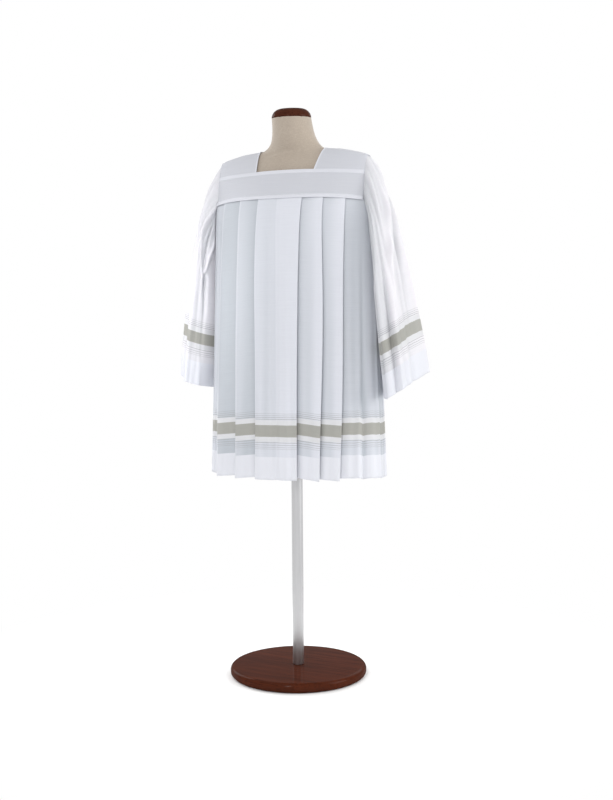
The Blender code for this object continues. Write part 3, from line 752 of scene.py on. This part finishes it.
def surplice_cloth(name, striped, light_and_shade_tint, sheerness, doubled_colour):
    """Fine white cloth: whiter where doubled, with its woven stripes."""
    material, tree, shader = new_material(name)
    uv = tree.nodes.new("ShaderNodeUVMap")
    uv.uv_map = "cut"
    place = uv.outputs["UV"]
    parted = tree.nodes.new("ShaderNodeSeparateXYZ")
    tree.links.new(place, parted.inputs[0])
    along, up = parted.outputs[0], parted.outputs[1]
    doubled = share_between(tree, read_value(tree, "from_edge"), HEM_BLUR, -HEM_BLUR)

    slubs = noise(tree, place, SLUBS, 3.0)
    warp = noise(tree, place, WARP, 3.0)
    cloud = noise(tree, place, CLOUDS)
    single = mix_colour(tree, slubs, *SINGLE)
    several = mix_colour(tree, slubs, *LAYERED)
    # how dense the cloth looks, with painted light and shade from folds, creases, pleat faces and
    # the sleeves' sides
    colour = mix_colour(tree, read_value(tree, "layers_and_painted_light"), single, several)
    colour = mix_colour(tree, times(tree, warp, WARP_SHARE), colour, LAYERED[1])
    colour = mix_colour(tree, times(tree, cloud, CLOUD_SHARE), colour, CLOUDY)
    # painted light on the sleeves and painted shade on the yokes and shoulders, by a tint over the
    # cloth's colour
    colour = mix_colour(tree, 1.0, colour, light_and_shade_tint, "MULTIPLY")
    colour = mix_colour(tree, doubled, colour, doubled_colour)
    roughness = math_node(tree, "MULTIPLY_ADD", slubs, 0.10, 0.72)
    if striped:
        colour, roughness = woven_stripes(tree, place, up, colour, roughness)
    feed_all(tree, shader, {"Base Color": colour, "Roughness": roughness, "Sheen Weight": 0.25,
                            "Sheen Roughness": 0.45, "Specular IOR Level": 0.30})

    turns = 2 * math.pi / WEAVE_PITCH
    weft = math_node(tree, "SINE", times(tree, up, turns))
    threads = math_node(tree, "SINE", times(tree, along, turns))
    height = math_node(tree, "MULTIPLY_ADD", slubs, SLUB_HEIGHT, times(tree, weft, threads))
    height = math_node(tree, "ADD", warp, height)
    normal = bump(tree, height, 0.35, 0.00006, shader)

    through = tree.nodes.new("ShaderNodeBsdfTranslucent")
    feed_all(tree, through, {"Color": colour, "Normal": normal})
    show_mix(tree, sheerness, shader.outputs[0], through.outputs[0])
    return material


def thread_finish():
    material, tree, shader = new_material("white_thread")
    twist = noise(tree, object_place(tree), TWIST, 1.0)
    feed_all(tree, shader, {"Base Color": mix_colour(tree, twist, *WHITE_THREAD),
                            "Roughness": 0.6})
    bump(tree, twist, 0.3, 0.00005, shader)
    return material


def linen_finish():
    """Beige linen: uneven threads both ways."""
    material, tree, shader = new_material("beige_linen")
    place = object_place(tree)
    weft = noise(tree, place, LINEN_WEFT, 3.0)
    warp = noise(tree, place, LINEN_WARP, 3.0)
    flecks = share_between(tree, noise(tree, place, LINEN_FLECKS, 3.0), 0.38, 0.62)
    cloud = noise(tree, place, LINEN_CLOUDS)
    threads = times(tree, math_node(tree, "ADD", weft, warp), 0.5)
    colour = mix_colour(tree, threads, *LINEN)
    colour = mix_colour(tree, times(tree, flecks, 0.35), colour, LINEN_FLECK)
    colour = mix_colour(tree, times(tree, cloud, 0.3), colour, LINEN_CLOUD)
    feed_all(tree, shader, {"Base Color": colour, "Roughness": 0.88, "Sheen Weight": 0.2})
    bump(tree, threads, 0.5, 0.0002, shader)
    return material


def mahogany_finish(name, dark, light):
    """Polished red-brown wood with its grain along x."""
    material, tree, shader = new_material(name)
    place = object_place(tree)
    pores = noise(tree, place, WOOD_PORES, 3.0)
    figure = noise(tree, place, WOOD_FIGURE, 4.0)
    colour = mix_colour(tree, figure, dark, light)
    dark_pores = times(tree, math_node(tree, "GREATER_THAN", pores, 0.58), 0.45)
    colour = mix_colour(tree, dark_pores, colour, tuple(0.45 * c for c in dark))
    roughness = math_node(tree, "MULTIPLY_ADD", figure, 0.16, 0.30)
    feed_all(tree, shader, {"Base Color": colour, "Roughness": roughness, "Specular IOR Level": 0.0,
                            "Coat Weight": 0.11, "Coat Roughness": 0.12})
    bump(tree, pores, 0.05, 0.0001, shader)
    return material


def steel_finish():
    material, tree, shader = new_material("satin_steel")
    brushed = noise(tree, object_place(tree), BRUSH_LINES)
    roughness = math_node(tree, "MULTIPLY_ADD", brushed, 0.16, 0.26)
    feed_all(tree, shader, {"Base Color": mix_colour(tree, brushed, *STEEL),
                            "Roughness": roughness, "Metallic": 1.0})
    bump(tree, brushed, 0.06, 0.0001, shader)
    return material


# Camera, floor and light

def photo_camera():
    """The camera at the photo's place, with its slight turn and roll."""
    back = Vector((math.sin(CAMERA_AZIMUTH), -math.cos(CAMERA_AZIMUTH), 0.0))
    right = Vector((math.cos(CAMERA_AZIMUTH), math.sin(CAMERA_AZIMUTH), 0.0))
    upright = Vector((0.0, 0.0, 1.0))
    turn = math.atan((PHOTO_WIDTH / 2 - AXIS_PIXEL) / FOCAL_PIXELS)
    level = right * math.sin(turn) - back * math.cos(turn)
    side = right * math.cos(turn) + back * math.sin(turn)
    ahead = level * math.cos(CAMERA_PITCH) - upright * math.sin(CAMERA_PITCH)
    up = level * math.sin(CAMERA_PITCH) + upright * math.cos(CAMERA_PITCH)
    rolled_side = side * math.cos(CAMERA_ROLL) - up * math.sin(CAMERA_ROLL)
    rolled_up = side * math.sin(CAMERA_ROLL) + up * math.cos(CAMERA_ROLL)
    place = back * CAMERA_DISTANCE + upright * CAMERA_HEIGHT
    data = bpy.data.cameras.new("camera")
    data.sensor_width = 36.0
    data.lens = FOCAL_PIXELS * data.sensor_width / PHOTO_HEIGHT
    data.clip_start = 0.05
    camera = bpy.data.objects.new("camera", data)
    camera.matrix_world = Matrix(((rolled_side.x, rolled_up.x, -ahead.x, place.x),
                                  (rolled_side.y, rolled_up.y, -ahead.y, place.y),
                                  (rolled_side.z, rolled_up.z, -ahead.z, place.z),
                                  (0.0, 0.0, 0.0, 1.0)))
    bpy.context.scene.collection.objects.link(camera)
    bpy.context.scene.camera = camera


def pale_floor():
    """A pale floor that fades into the white surroundings."""
    bpy.ops.object.select_all(action="DESELECT")
    bpy.ops.mesh.primitive_circle_add(vertices=96, radius=FLOOR_RADIUS, fill_type="NGON",
                                      location=(0.0, 0.0, -FLOOR_GAP))
    floor = bpy.context.active_object
    floor.name = "floor"
    material, tree, shader = new_material("pale_floor")
    reach = tree.nodes.new("ShaderNodeVectorMath")
    reach.operation = "LENGTH"
    tree.links.new(object_place(tree), reach.inputs[0])
    fade = share_between(tree, reach.outputs["Value"], *FLOOR_FADE, "SMOOTHSTEP")
    feed_all(tree, shader, {"Base Color": (0.90, 0.90, 0.90), "Roughness": 0.9})
    glow = tree.nodes.new("ShaderNodeEmission")
    feed_all(tree, glow, {"Color": WHITE, "Strength": ROOM_LIGHT})
    show_mix(tree, fade, shader.outputs[0], glow.outputs[0])
    floor.data.materials.append(material)


def aimed(light, place, aim):
    light.location = place
    light.rotation_euler = (Vector(aim) - Vector(place)).to_track_quat("-Z", "Y").to_euler()
    bpy.context.scene.collection.objects.link(light)


def studio():
    """White surroundings, broad soft lights and narrow beams with soft edges."""
    scene = bpy.context.scene
    scene.view_settings.view_transform = "Standard"
    scene.world = bpy.data.worlds.new("studio")
    scene.world.use_nodes = True
    tree = scene.world.node_tree
    feed_all(tree, tree.nodes["Background"], {"Color": WHITE, "Strength": ROOM_LIGHT})
    pale_floor()
    for name, place, width, height, power, colour in LIGHTS:
        data = bpy.data.lights.new(name, "AREA")
        data.shape = "RECTANGLE"
        data.size = width
        data.size_y = height
        data.energy = power
        data.color = colour
        aimed(bpy.data.objects.new(name, data), place, LIGHT_AIM)
    for name, aim, power in BEAMS:
        data = bpy.data.lights.new(name, "SPOT")
        data.spot_size = math.radians(BEAM_ANGLE)
        data.spot_blend = 1.0
        data.shadow_soft_size = 0.25
        data.energy = power
        aimed(bpy.data.objects.new(name, data), BEAM_PLACE, aim)


# The body of the surplice

def pleat_half(folds, down, facing):
    """Half a section from the middle outwards: turns, lifts, layers and hem steps; the layers carry
    painted light and shade too.
    """
    height = lerp(CHEST_SEAM, HEM_HEIGHT, down)
    half_width, depth = body_size(height, facing)
    opened = down ** PLEAT_OPENING
    step = lerp(*PLEAT_STEP, opened)
    underlap = lerp(*PLEAT_UNDERLAP, down)
    crease = lerp(*CENTRE_CREASE, down)
    bends = np.radians(np.linspace(90, -90, 7))

    def turn_at(x):
        return np.arcsin(np.clip(x / half_width, -1.0, 1.0))

    def turn_for(length, turn):
        return length / np.hypot(half_width * np.cos(turn), depth * np.sin(turn))

    line = []

    def add(turn, lift, layers, rise):
        line.append((float(turn), float(lift), float(layers), float(rise)))

    width = turn_at(CENTRE_CREASE_WIDTH)
    for share in np.linspace(0.0, 1.0, 8):
        add(width * share, step - crease * (0.5 + 0.5 * math.cos(math.pi * share)) ** 1.5,
            folds[0][6], 0.0)
    start, start_lift = width, step
    for number, (x_top, x_third, x_hem, waver, bulge, rise, first, last) in enumerate(folds):
        waving = waver * math.sin(math.pi * (2.2 * down + 0.45 * number)) * min(1.0, down * 5)
        path = ((0.0, x_top), (THIRD_DOWN, x_third), (1.0, x_hem))
        edge = turn_at(read_row(path, down, 1) + waving)
        back = turn_for(underlap, edge)
        for share in np.linspace(0.0, 1.0, FACE_POINTS + 2)[1:-1]:
            turn = start + (edge - start) * share
            # partly the real underlap, partly painted shade towards the start of each face
            layers = lerp(first, last, smooth(share * 1.15))
            lift = start_lift + (step - start_lift) * share ** FACE_RISE
            lift += bulge * opened * math.sin(math.pi * share)
            add(turn, lift, layers, rise * (1.0 - (1.0 - EDGE_STEP) * share))
        at_back = start_lift + (step - start_lift) * (1.0 - back / (edge - start)) ** FACE_RISE
        inside = (at_back - step) / 2 - PLEAT_ROUND
        for bend in bends:
            add(edge + turn_for(PLEAT_ROUND * math.cos(bend), edge),
                step - PLEAT_ROUND + PLEAT_ROUND * math.sin(bend), 1.0, EDGE_STEP * rise)
        for share in (0.33, 0.67):
            add(edge - back * share, lerp(step - 2 * PLEAT_ROUND, inside, share), 1.0,
                lerp(EDGE_STEP * rise, BACK_STEP * rise, share))
        for bend in bends:
            add(edge - back - turn_for(PLEAT_ROUND * math.cos(bend), edge),
                inside - PLEAT_ROUND + PLEAT_ROUND * math.sin(bend), 1.0, BACK_STEP * rise)
        later = folds[number + 1][5] if number + 1 < len(folds) else SIDE_STEP
        for share in (0.33, 0.67, 1.0):
            add(edge - back * (1.0 - share), lerp(inside - 2 * PLEAT_ROUND, -step, share),
                1.0 - 0.7 * share, lerp(BACK_STEP * rise, later, share))
        start, start_lift = edge, -step
    end = math.pi / 2 - SEAM / 2 / depth
    for share in np.linspace(0.0, 1.0, SIDE_POINTS + 1)[1:]:
        folded = 0.0
        for place, spread, fold_depth in SIDE_FOLDS:
            folded += fold_depth * down ** 1.5 * math.exp(-((share - place) / spread) ** 2)
        folded *= min(1.0, (1.0 - share) * 8)
        # painted light on the ridges of the side folds and painted shade in their troughs
        add(start + (end - start) * share, start_lift * (1.0 - share) ** 2 + folded,
            SIDE_LAYERS + SIDE_FOLD_PAINTED_LIGHT * folded, SIDE_STEP * (1.0 - share) + 0.4 * folded)
    return np.array(line)


def body_top(turn, facing):
    """Upper edge of the body: the chest seam, then down the armhole."""
    half_width, _ = body_size(CHEST_SEAM, facing)
    seam_end = math.asin(ARMHOLE_X / half_width)
    share = np.clip((np.abs(turn) - seam_end) / (math.pi / 2 - seam_end), 0.0, 1.0)
    out, up = ARMHOLE_BEND
    armhole = lerp(UNDERARM_HEIGHT, chest_seam(ARMHOLE_X), (1.0 - share ** out) ** up)
    seam = chest_seam(half_width * np.sin(turn))
    return np.where(np.abs(turn) <= seam_end, seam, armhole)


def body_grid(facing, folds_right, folds_left, crease_table):
    """All points of a pleated panel, with the flat places they were cut from."""
    grid, layers_and_painted_light = [], []
    for down in row_places(BODY_ROWS_DOWN):
        right = pleat_half(folds_right, down, facing)
        left = pleat_half(folds_left, down, facing)
        turn = np.concatenate([-right[:0:-1, 0], left[:, 0]])
        lift, layers, rise = np.concatenate([right[:0:-1, 1:], left[:, 1:]]).T
        here_x = body_size(lerp(CHEST_SEAM, HEM_HEIGHT, down), facing)[0] * np.sin(turn)
        hem = HEM_HEIGHT + HEM_TILT * here_x + rise
        level = lerp(body_top(turn, facing), hem, down)
        past, width = CREASE_EDGE
        fade = min(1.0, down * 8) * np.clip((ARMHOLE_X + past - np.abs(here_x)) / width, 0.0, 1.0)
        soft = creases(crease_table, here_x, level) * fade
        # painted light on raised creases and painted shade in sunk ones
        layers = layers + BODY_CREASE_PAINTED_LIGHT * np.clip(soft / STREAK_DEPTH, -1.0, 1.0)
        grid.append(body_point(turn, level, facing, lift + soft))
        layers_and_painted_light.append(layers)
    grid = np.array(grid)
    across = run_lengths(grid, 1)
    across -= across[:, [across.shape[1] // 2]]
    upwards = run_lengths(grid[::-1], 0)[::-1]
    return grid, np.stack([across, upwards], axis=-1), np.array(layers_and_painted_light)


def body_panel(node, facing, folds_right, folds_left, crease_table, cloth, thread):
    """A pleated panel, with its hem turned up and stitched."""
    grid, cut, layers_and_painted_light = body_grid(facing, folds_right, folds_left, crease_table)
    normals = outward(grid, -facing)
    from_edge = cut[..., 1] - HEM_DEPTH
    row = int(np.argmin(np.abs(from_edge[:, cut.shape[1] // 2] + HEM_STITCH)))
    hem_line = stitch_line(grid[row], normals[row])
    grid, cut = turned_up(grid, cut, -normals, HEM_DEPTH)
    from_edge, layers_and_painted_light = under_hem(from_edge, len(grid)), under_hem(layers_and_painted_light, len(grid))
    piece = cloth_mesh(node, grid, cut, from_edge, layers_and_painted_light, False, facing < 0, cloth)
    finish_cloth(piece, node, hem_line, thread)


def finish_cloth(piece, node, found, thread):
    stitches = stitching(piece.name + "_stitches", found, thread)
    carried(piece, node)
    carried(stitches)


# Yokes and shoulders

def strip_places(length, count):
    """Shares along a piece, close together where its doubled strips end."""
    places = (0.0, 0.0005, 0.0012, 0.005, 0.0095, 0.0102, 0.0108, 0.0116, 0.0126)
    near = [place / length for place in places]
    middle = list(np.linspace(near[-1], 1 - near[-1], count + 2)[1:-1])
    return np.array(near + middle + [1.0 - n for n in reversed(near)])


def yoke_panel(node, facing, cloth, thread):
    """The flat band between the pleats and the neckline, with its doubled edges."""
    near = np.array([0.0010, 0.0022, ROLL_WIDTH])
    rows_between, columns_between = YOKE_POINTS
    inside = np.linspace(-YOKE_INNER, YOKE_INNER, columns_between)
    columns = np.concatenate([[-ARMHOLE_X], near - ARMHOLE_X, inside,
                              ARMHOLE_X - near[::-1], [ARMHOLE_X]])
    length = FRONT_NECK_SEAM - CHEST_SEAM + YOKE_OVERLAP
    shares = strip_places(length, rows_between)
    x = np.broadcast_to(columns, (len(shares), len(columns)))
    low = chest_seam(x) - YOKE_OVERLAP
    high = neck_seam(x, facing)
    level = lerp(high, low, shares[:, None])
    flat = np.stack([x, cloth_y(x, level, facing), level], axis=-1)
    normal = outward(flat, -facing)
    normal *= np.sign(normal[..., 1:2] * facing)
    distance = run_lengths(flat, 0)
    total = distance[-1]
    inner = np.minimum(distance, total - distance)
    strip = smooth((STRIP_WIDTH + STRIP_STEP / 2 - inner) / STRIP_STEP)
    strip *= 0.75 + 0.25 * smooth(inner / 0.001)
    over = smooth((distance - (total - YOKE_RISE[0])) / YOKE_RISE[1]) * YOKE_OVER_PLEATS
    seam = smooth((np.abs(x) - ARMHOLE_X + ROLL_WIDTH) / ROLL_WIDTH)
    grid = flat + normal * ((STRIP_LIFT * strip + over) * (1.0 - seam) - SEAM_ROLL * seam)[..., None]
    cut = np.stack([x, total - distance], axis=-1)
    layers_and_painted_light = np.full(inner.shape, YOKE_LAYERS)
    piece = cloth_mesh(node, grid, cut, inner - STRIP_WIDTH, layers_and_painted_light, False, facing < 0, cloth)
    found = []
    for place in (STRIP_STITCH, STRIP_WIDTH - STRIP_STITCH):
        for away in (place, total.mean() - place):
            row = int(np.argmin(np.abs(distance[:, len(columns) // 2] - away)))
            found += stitch_line(grid[row], normal[row])
    finish_cloth(piece, node, found, thread)


def shoulder_panel(node, side, cloth, thread):
    """Over the shoulder, from the front yoke to the back yoke."""
    shares = np.linspace(0.0, 1.0, 61)[:, None]
    near = np.array([0.0, 0.004, 0.010, 0.022, 0.030, 0.038, 0.048])
    steps = np.concatenate([near, np.linspace(0.075, 0.970, 27), [0.980, 0.990, 1.0]])[None, :]
    neck_half = lerp(NECK_HALF_FRONT, NECK_HALF_TOP, np.sin(np.pi * shares))
    x = lerp(neck_half, ARMHOLE_X, steps)
    front = upper_y(x, neck_seam(x, -1) - SHOULDER_TUCK, -1)
    back = upper_y(x, neck_seam(x, 1) - SHOULDER_TUCK, 1)
    y = lerp(front, back, shares)
    z = np.where(y < 0, upper_z(x, y, -1), upper_z(x, y, 1))
    grid = np.stack([side * x, y, z], axis=-1)
    normal = outward(grid, 1)
    normal *= np.sign(normal[..., 2:3])
    across = run_lengths(grid, 1)
    roll = smooth((NECK_EDGE + NECK_STEP / 2 - across) / NECK_STEP) * NECK_ROLL
    seam = smooth((steps - SHOULDER_SEAM[0]) / SHOULDER_SEAM[1])
    grid = grid + normal * (roll - SEAM_ROLL * seam)[..., None]
    cut = np.stack([across, run_lengths(grid, 0)], axis=-1)
    layers_and_painted_light = np.full(across.shape, YOKE_LAYERS)
    piece = cloth_mesh(node, grid, cut, across - NECK_EDGE, layers_and_painted_light, False, side < 0, cloth)
    line = np.argmin(np.abs(across - NECK_EDGE + NECK_STITCH), axis=1)
    rows = np.arange(len(grid))
    found = stitch_line(grid[rows, line], normal[rows, line])
    finish_cloth(piece, node, found, thread)


# Sleeves

def armhole_edge(turn):
    """The armhole on the body, turn from 0 at the shoulder through 0.25."""
    facing = -1 if turn <= 0.5 else 1
    part = turn if turn <= 0.5 else 1.0 - turn
    if part <= 0.25:
        share = part / 0.25
        y = facing * low_depth(ARMHOLE_X, facing) * math.sin(share * math.pi / 2)
        z = upper_z(ARMHOLE_X, y, facing) - CHEST_SEAM_DROP * share ** 4
        return np.array((ARMHOLE_X, float(y), float(z)))
    share = (part - 0.25) / 0.25
    half_width, _ = body_size(CHEST_SEAM, facing)
    angle = lerp(math.asin(ARMHOLE_X / half_width), math.pi / 2, share)
    return body_point(angle, float(body_top(angle, facing)), facing)


def sleeve_grid(slant, crease_table):
    """The tube of the left sleeve, ring by ring from the armhole."""
    turns = np.arange(SLEEVE_POINTS) / SLEEVE_POINTS
    armhole = np.array([armhole_edge(turn) for turn in turns])
    middle = np.array((ARMHOLE_X, 0.0, CHEST_SEAM))
    armhole = middle + (armhole - middle) * (1.0, ARMHOLE_TUCK, ARMHOLE_TUCK)
    armhole -= (ARMHOLE_REACH, 0.0, 0.0)
    out, front = np.cos(2 * np.pi * turns), np.sin(2 * np.pi * turns)
    rings, folds = [], []
    for down in row_places(SLEEVE_ROWS_DOWN):
        outer_x, outer_z, inner_x, inner_z, middle_y, half_depth, free = (
            read_row(SLEEVE_ROWS, down, column) for column in range(1, 8))
        fold = np.zeros_like(turns)
        for place, spread, at_top, halfway, at_cuff in SLEEVE_FOLDS:
            swell = 4 * down * (1 - down) * (halfway - (at_top + at_cuff) / 2)
            fold += (lerp(at_top, at_cuff, down) + swell) * np.exp(-((turns - place) / spread) ** 2)
        fold += creases(crease_table, turns, down, True) * min(1.0, down * 16)
        x = lerp(inner_x, outer_x, (1 + out) / 2) + fold * out
        y = middle_y - (half_depth + fold) * front
        z = lerp(inner_z, outer_z, (1 + out) / 2) - slant * front * down ** 2
        z += CUFF_RISE * np.maximum(-out, 0.0) ** 1.5 * down ** 3
        ring = np.stack([lerp(armhole[:, 0], x, free), lerp(armhole[:, 1], y, free),
                         lerp(armhole[:, 2], z, free)], axis=-1)
        rings.append(clear_of_body(ring) if down > 0.02 else ring)
        folds.append(fold)
    return np.array(rings), np.array(folds)


def clear_of_body(ring):
    """Push the sleeve out until it clears the side of the body."""
    for facing in (-1, 1):
        x, y, z = ring[:, 0], ring[:, 1], ring[:, 2]
        half_width, depth = body_size(z, facing)
        near = (np.sign(y + 1e-12) == facing) & (np.abs(y) < depth) & (z <= CHEST_SEAM)
        inner = half_width * np.sqrt(np.maximum(1.0 - (y / depth) ** 2, 0.0)) + BODY_CLEARANCE
        ring[:, 0] = np.where(near, np.maximum(x, inner), x)
    return ring


def sleeve(node, side, slant, crease_table, shade, cloth, thread):
    """A wide sleeve, open at the armhole and at the cuff."""
    grid, folds = sleeve_grid(slant, crease_table)
    grid[..., 0] *= side
    wrapped = np.concatenate([grid, grid[:, :1]], axis=1)
    normals = outward(wrapped, 1)[:, :-1]
    away = grid - grid.mean(axis=1, keepdims=True)
    normals *= np.sign((normals * away).sum(axis=-1).mean())
    upwards = run_lengths(grid[::-1], 0)[::-1]
    across = run_lengths(wrapped, 1)
    across -= across[:, [across.shape[1] // 2]]
    cut = np.stack([across, np.concatenate([upwards, upwards[:, :1]], axis=1)], axis=-1)
    cuff_row = int(np.argmin(np.abs(upwards[:, CUFF_COLUMN] - (CUFF_DEPTH - HEM_STITCH))))
    found = []
    for row in (cuff_row, ARMHOLE_STITCH_ROW):
        found += stitch_line(grid[row], normals[row])
    from_edge = upwards - CUFF_DEPTH
    grid, cut = turned_up(grid, cut, -normals, CUFF_DEPTH)
    from_edge = under_hem(from_edge, len(grid))
    turns = np.arange(SLEEVE_POINTS) / SLEEVE_POINTS
    # Painted shade: each sleeve is drawn darker beside the body and towards its top
    shaded = np.exp(-((np.abs(turns - 0.5) - SHADE_PLACE[0]) / SHADE_PLACE[1]) ** 2)
    high = smooth((upwards - SHADE_HEIGHT) / SHADE_HEIGHT)
    layers_and_painted_light = SLEEVE_LAYERS - shade * shaded * (0.6 + 0.4 * high) - UPPER_PAINTED_SHADE * high
    # painted light on the ridges of the folds and painted shade in their troughs
    layers_and_painted_light += SLEEVE_FOLD_PAINTED_LIGHT * np.clip(folds / FULL_FOLD, -1.0, 1.0)
    layers_and_painted_light = under_hem(layers_and_painted_light, len(grid))
    piece = cloth_mesh(node, grid, cut, from_edge, layers_and_painted_light, True, side < 0, cloth)
    finish_cloth(piece, node, found, thread)


# The dress form

def neck_middle(height):
    return math.tan(NECK_LEAN) * (NECK_UPRIGHT - height)


def linen_cover(linen):
    """The linen torso and neck: a finer, smoothed copy of its solid."""
    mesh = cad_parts["form_torso"].data.copy()
    mesh.name = "linen_torso"
    mesh.materials.clear()
    work = bmesh.new()
    work.from_mesh(mesh)
    bmesh.ops.remove_doubles(work, verts=work.verts, dist=0.00002)
    bmesh.ops.join_triangles(work, faces=work.faces, angle_face_threshold=0.35,
                             angle_shape_threshold=0.9)
    low, high = NECK_ROOT
    neck_root = [v for v in work.verts if low < v.co.z < high and abs(v.co.x) < NECK_ROOT_HALF]
    for _ in range(NECK_ROOT_PASSES):
        bmesh.ops.smooth_vert(work, verts=neck_root, factor=0.5, use_axis_x=True, use_axis_y=True,
                              use_axis_z=True)
    bottom = min(v.co.z for v in work.verts)
    crease = work.edges.layers.float.new("crease_edge")
    for edge in work.edges:
        corner = len(edge.link_faces) == 2 and edge.calc_face_angle(0.0) > CORNER
        foot = all(abs(v.co.z - bottom) < 0.0005 for v in edge.verts)
        edge[crease] = 0.9 if corner or foot else 0.0
    work.to_mesh(mesh)
    work.free()
    piece = new_piece(mesh, linen)
    rounder = piece.modifiers.new("rounder", "SUBSURF")
    rounder.levels = 2
    rounder.render_levels = 2
    carried(piece, "form_torso")


def add_cylinder(name, radius, depth, middle, lean=0.0, vertices=96):
    bpy.ops.object.select_all(action="DESELECT")
    bpy.ops.mesh.primitive_cylinder_add(vertices=vertices, radius=radius, depth=depth,
                                        location=middle, rotation=(lean, 0.0, 0.0))
    piece = bpy.context.active_object
    piece.name = name
    piece.data.name = name
    return piece


def pick_rims(piece, places):
    """Select the rims at the given heights of a cylinder, in its own frame."""
    bpy.ops.mesh.select_mode(type="EDGE")
    bpy.ops.mesh.select_all(action="DESELECT")
    work = bmesh.from_edit_mesh(piece.data)
    for edge in work.edges:
        heights = [v.co.z for v in edge.verts]
        edge.select_set(any(max(abs(z - place) for z in heights) < 0.0004 for place in places))
    bmesh.update_edit_mesh(piece.data)


def round_rims(piece, places, offset, segments):
    bpy.ops.object.mode_set(mode="EDIT")
    pick_rims(piece, places)
    bpy.ops.mesh.bevel(offset=offset, segments=segments, profile=0.5, affect="EDGES")
    bpy.ops.object.mode_set(mode="OBJECT")


def finish_rigid(piece, node, material):
    bpy.ops.object.select_all(action="DESELECT")
    piece.select_set(True)
    bpy.context.view_layer.objects.active = piece
    bpy.ops.object.shade_smooth_by_angle(angle=math.radians(35))
    bpy.ops.object.transform_apply(location=True, rotation=True, scale=True)
    piece.data.materials.clear()
    piece.data.materials.append(material)
    carried(piece, node)


def wooden_base(wood):
    half = BASE_THICKNESS / 2
    piece = add_cylinder("wooden_base", BASE_RADIUS, BASE_THICKNESS, (0.0, 0.0, half), vertices=128)
    round_rims(piece, (half, -half), *BASE_RIM)
    finish_rigid(piece, "base", wood)


def wooden_cap(wood):
    lift = SEAM + CAP_HEIGHT / 2
    middle = (0.0, neck_middle(NECK_TOP) - lift * math.sin(CAP_LEAN),
              NECK_TOP + lift * math.cos(CAP_LEAN))
    piece = add_cylinder("wooden_cap", CAP_RADIUS, CAP_HEIGHT, middle, CAP_LEAN)
    bpy.ops.object.mode_set(mode="EDIT")
    pick_rims(piece, (CAP_HEIGHT / 2,))
    bpy.ops.transform.resize(value=(CAP_TOP, CAP_TOP, 1.0), center_override=middle)
    bpy.ops.object.mode_set(mode="OBJECT")
    round_rims(piece, (CAP_HEIGHT / 2,), *CAP_TOP_RIM)
    round_rims(piece, (-CAP_HEIGHT / 2,), *CAP_FOOT_RIM)
    finish_rigid(piece, "neck_cap", wood)


def steel_pole(steel):
    low = BASE_THICKNESS + SEAM
    high = TORSO_BOTTOM - SEAM
    piece = add_cylinder("steel_pole", POLE_RADIUS, high - low, (0.0, 0.0, (low + high) / 2),
                         vertices=64)
    round_rims(piece, ((high - low) / 2, (low - high) / 2), *POLE_RIM)
    finish_rigid(piece, "pole", steel)


# Making

photo_camera()
studio()

body_cloth = surplice_cloth("body_white_cloth", True, WHITE, BODY_SHEERNESS, HEM_WHITE)
sleeve_cloth_painted_light = surplice_cloth("sleeve_white_cloth_painted_light", True, SLEEVE_PAINTED_LIGHT, SLEEVE_SHEERNESS, HEM_WHITE)
yoke_cloth_painted_shade = surplice_cloth("yoke_white_cloth_painted_shade", False, YOKE_PAINTED_SHADE, BODY_SHEERNESS, STRIP_WHITE)
white_thread = thread_finish()

body_panel("front_body", -1, FRONT_FOLDS_RIGHT, FRONT_FOLDS_LEFT, FRONT_CREASES,
           body_cloth, white_thread)
body_panel("back_body", 1, BACK_FOLDS_RIGHT, BACK_FOLDS_LEFT, BACK_CREASES,
           body_cloth, white_thread)
yoke_panel("front_yoke", -1, yoke_cloth_painted_shade, white_thread)
yoke_panel("back_yoke", 1, yoke_cloth_painted_shade, white_thread)
shoulder_panel("shoulder_left", 1, yoke_cloth_painted_shade, white_thread)
shoulder_panel("shoulder_right", -1, yoke_cloth_painted_shade, white_thread)
sleeve("sleeve_left", 1, LEFT_CUFF_SLANT, LEFT_CREASES, LEFT_PAINTED_SHADE,
       sleeve_cloth_painted_light, white_thread)
sleeve("sleeve_right", -1, RIGHT_CUFF_SLANT, RIGHT_CREASES, RIGHT_PAINTED_SHADE,
       sleeve_cloth_painted_light, white_thread)

linen_cover(linen_finish())
wooden_cap(mahogany_finish("cap_mahogany", *CAP_WOOD))
wooden_base(mahogany_finish("base_mahogany", *BASE_WOOD))
steel_pole(steel_finish())
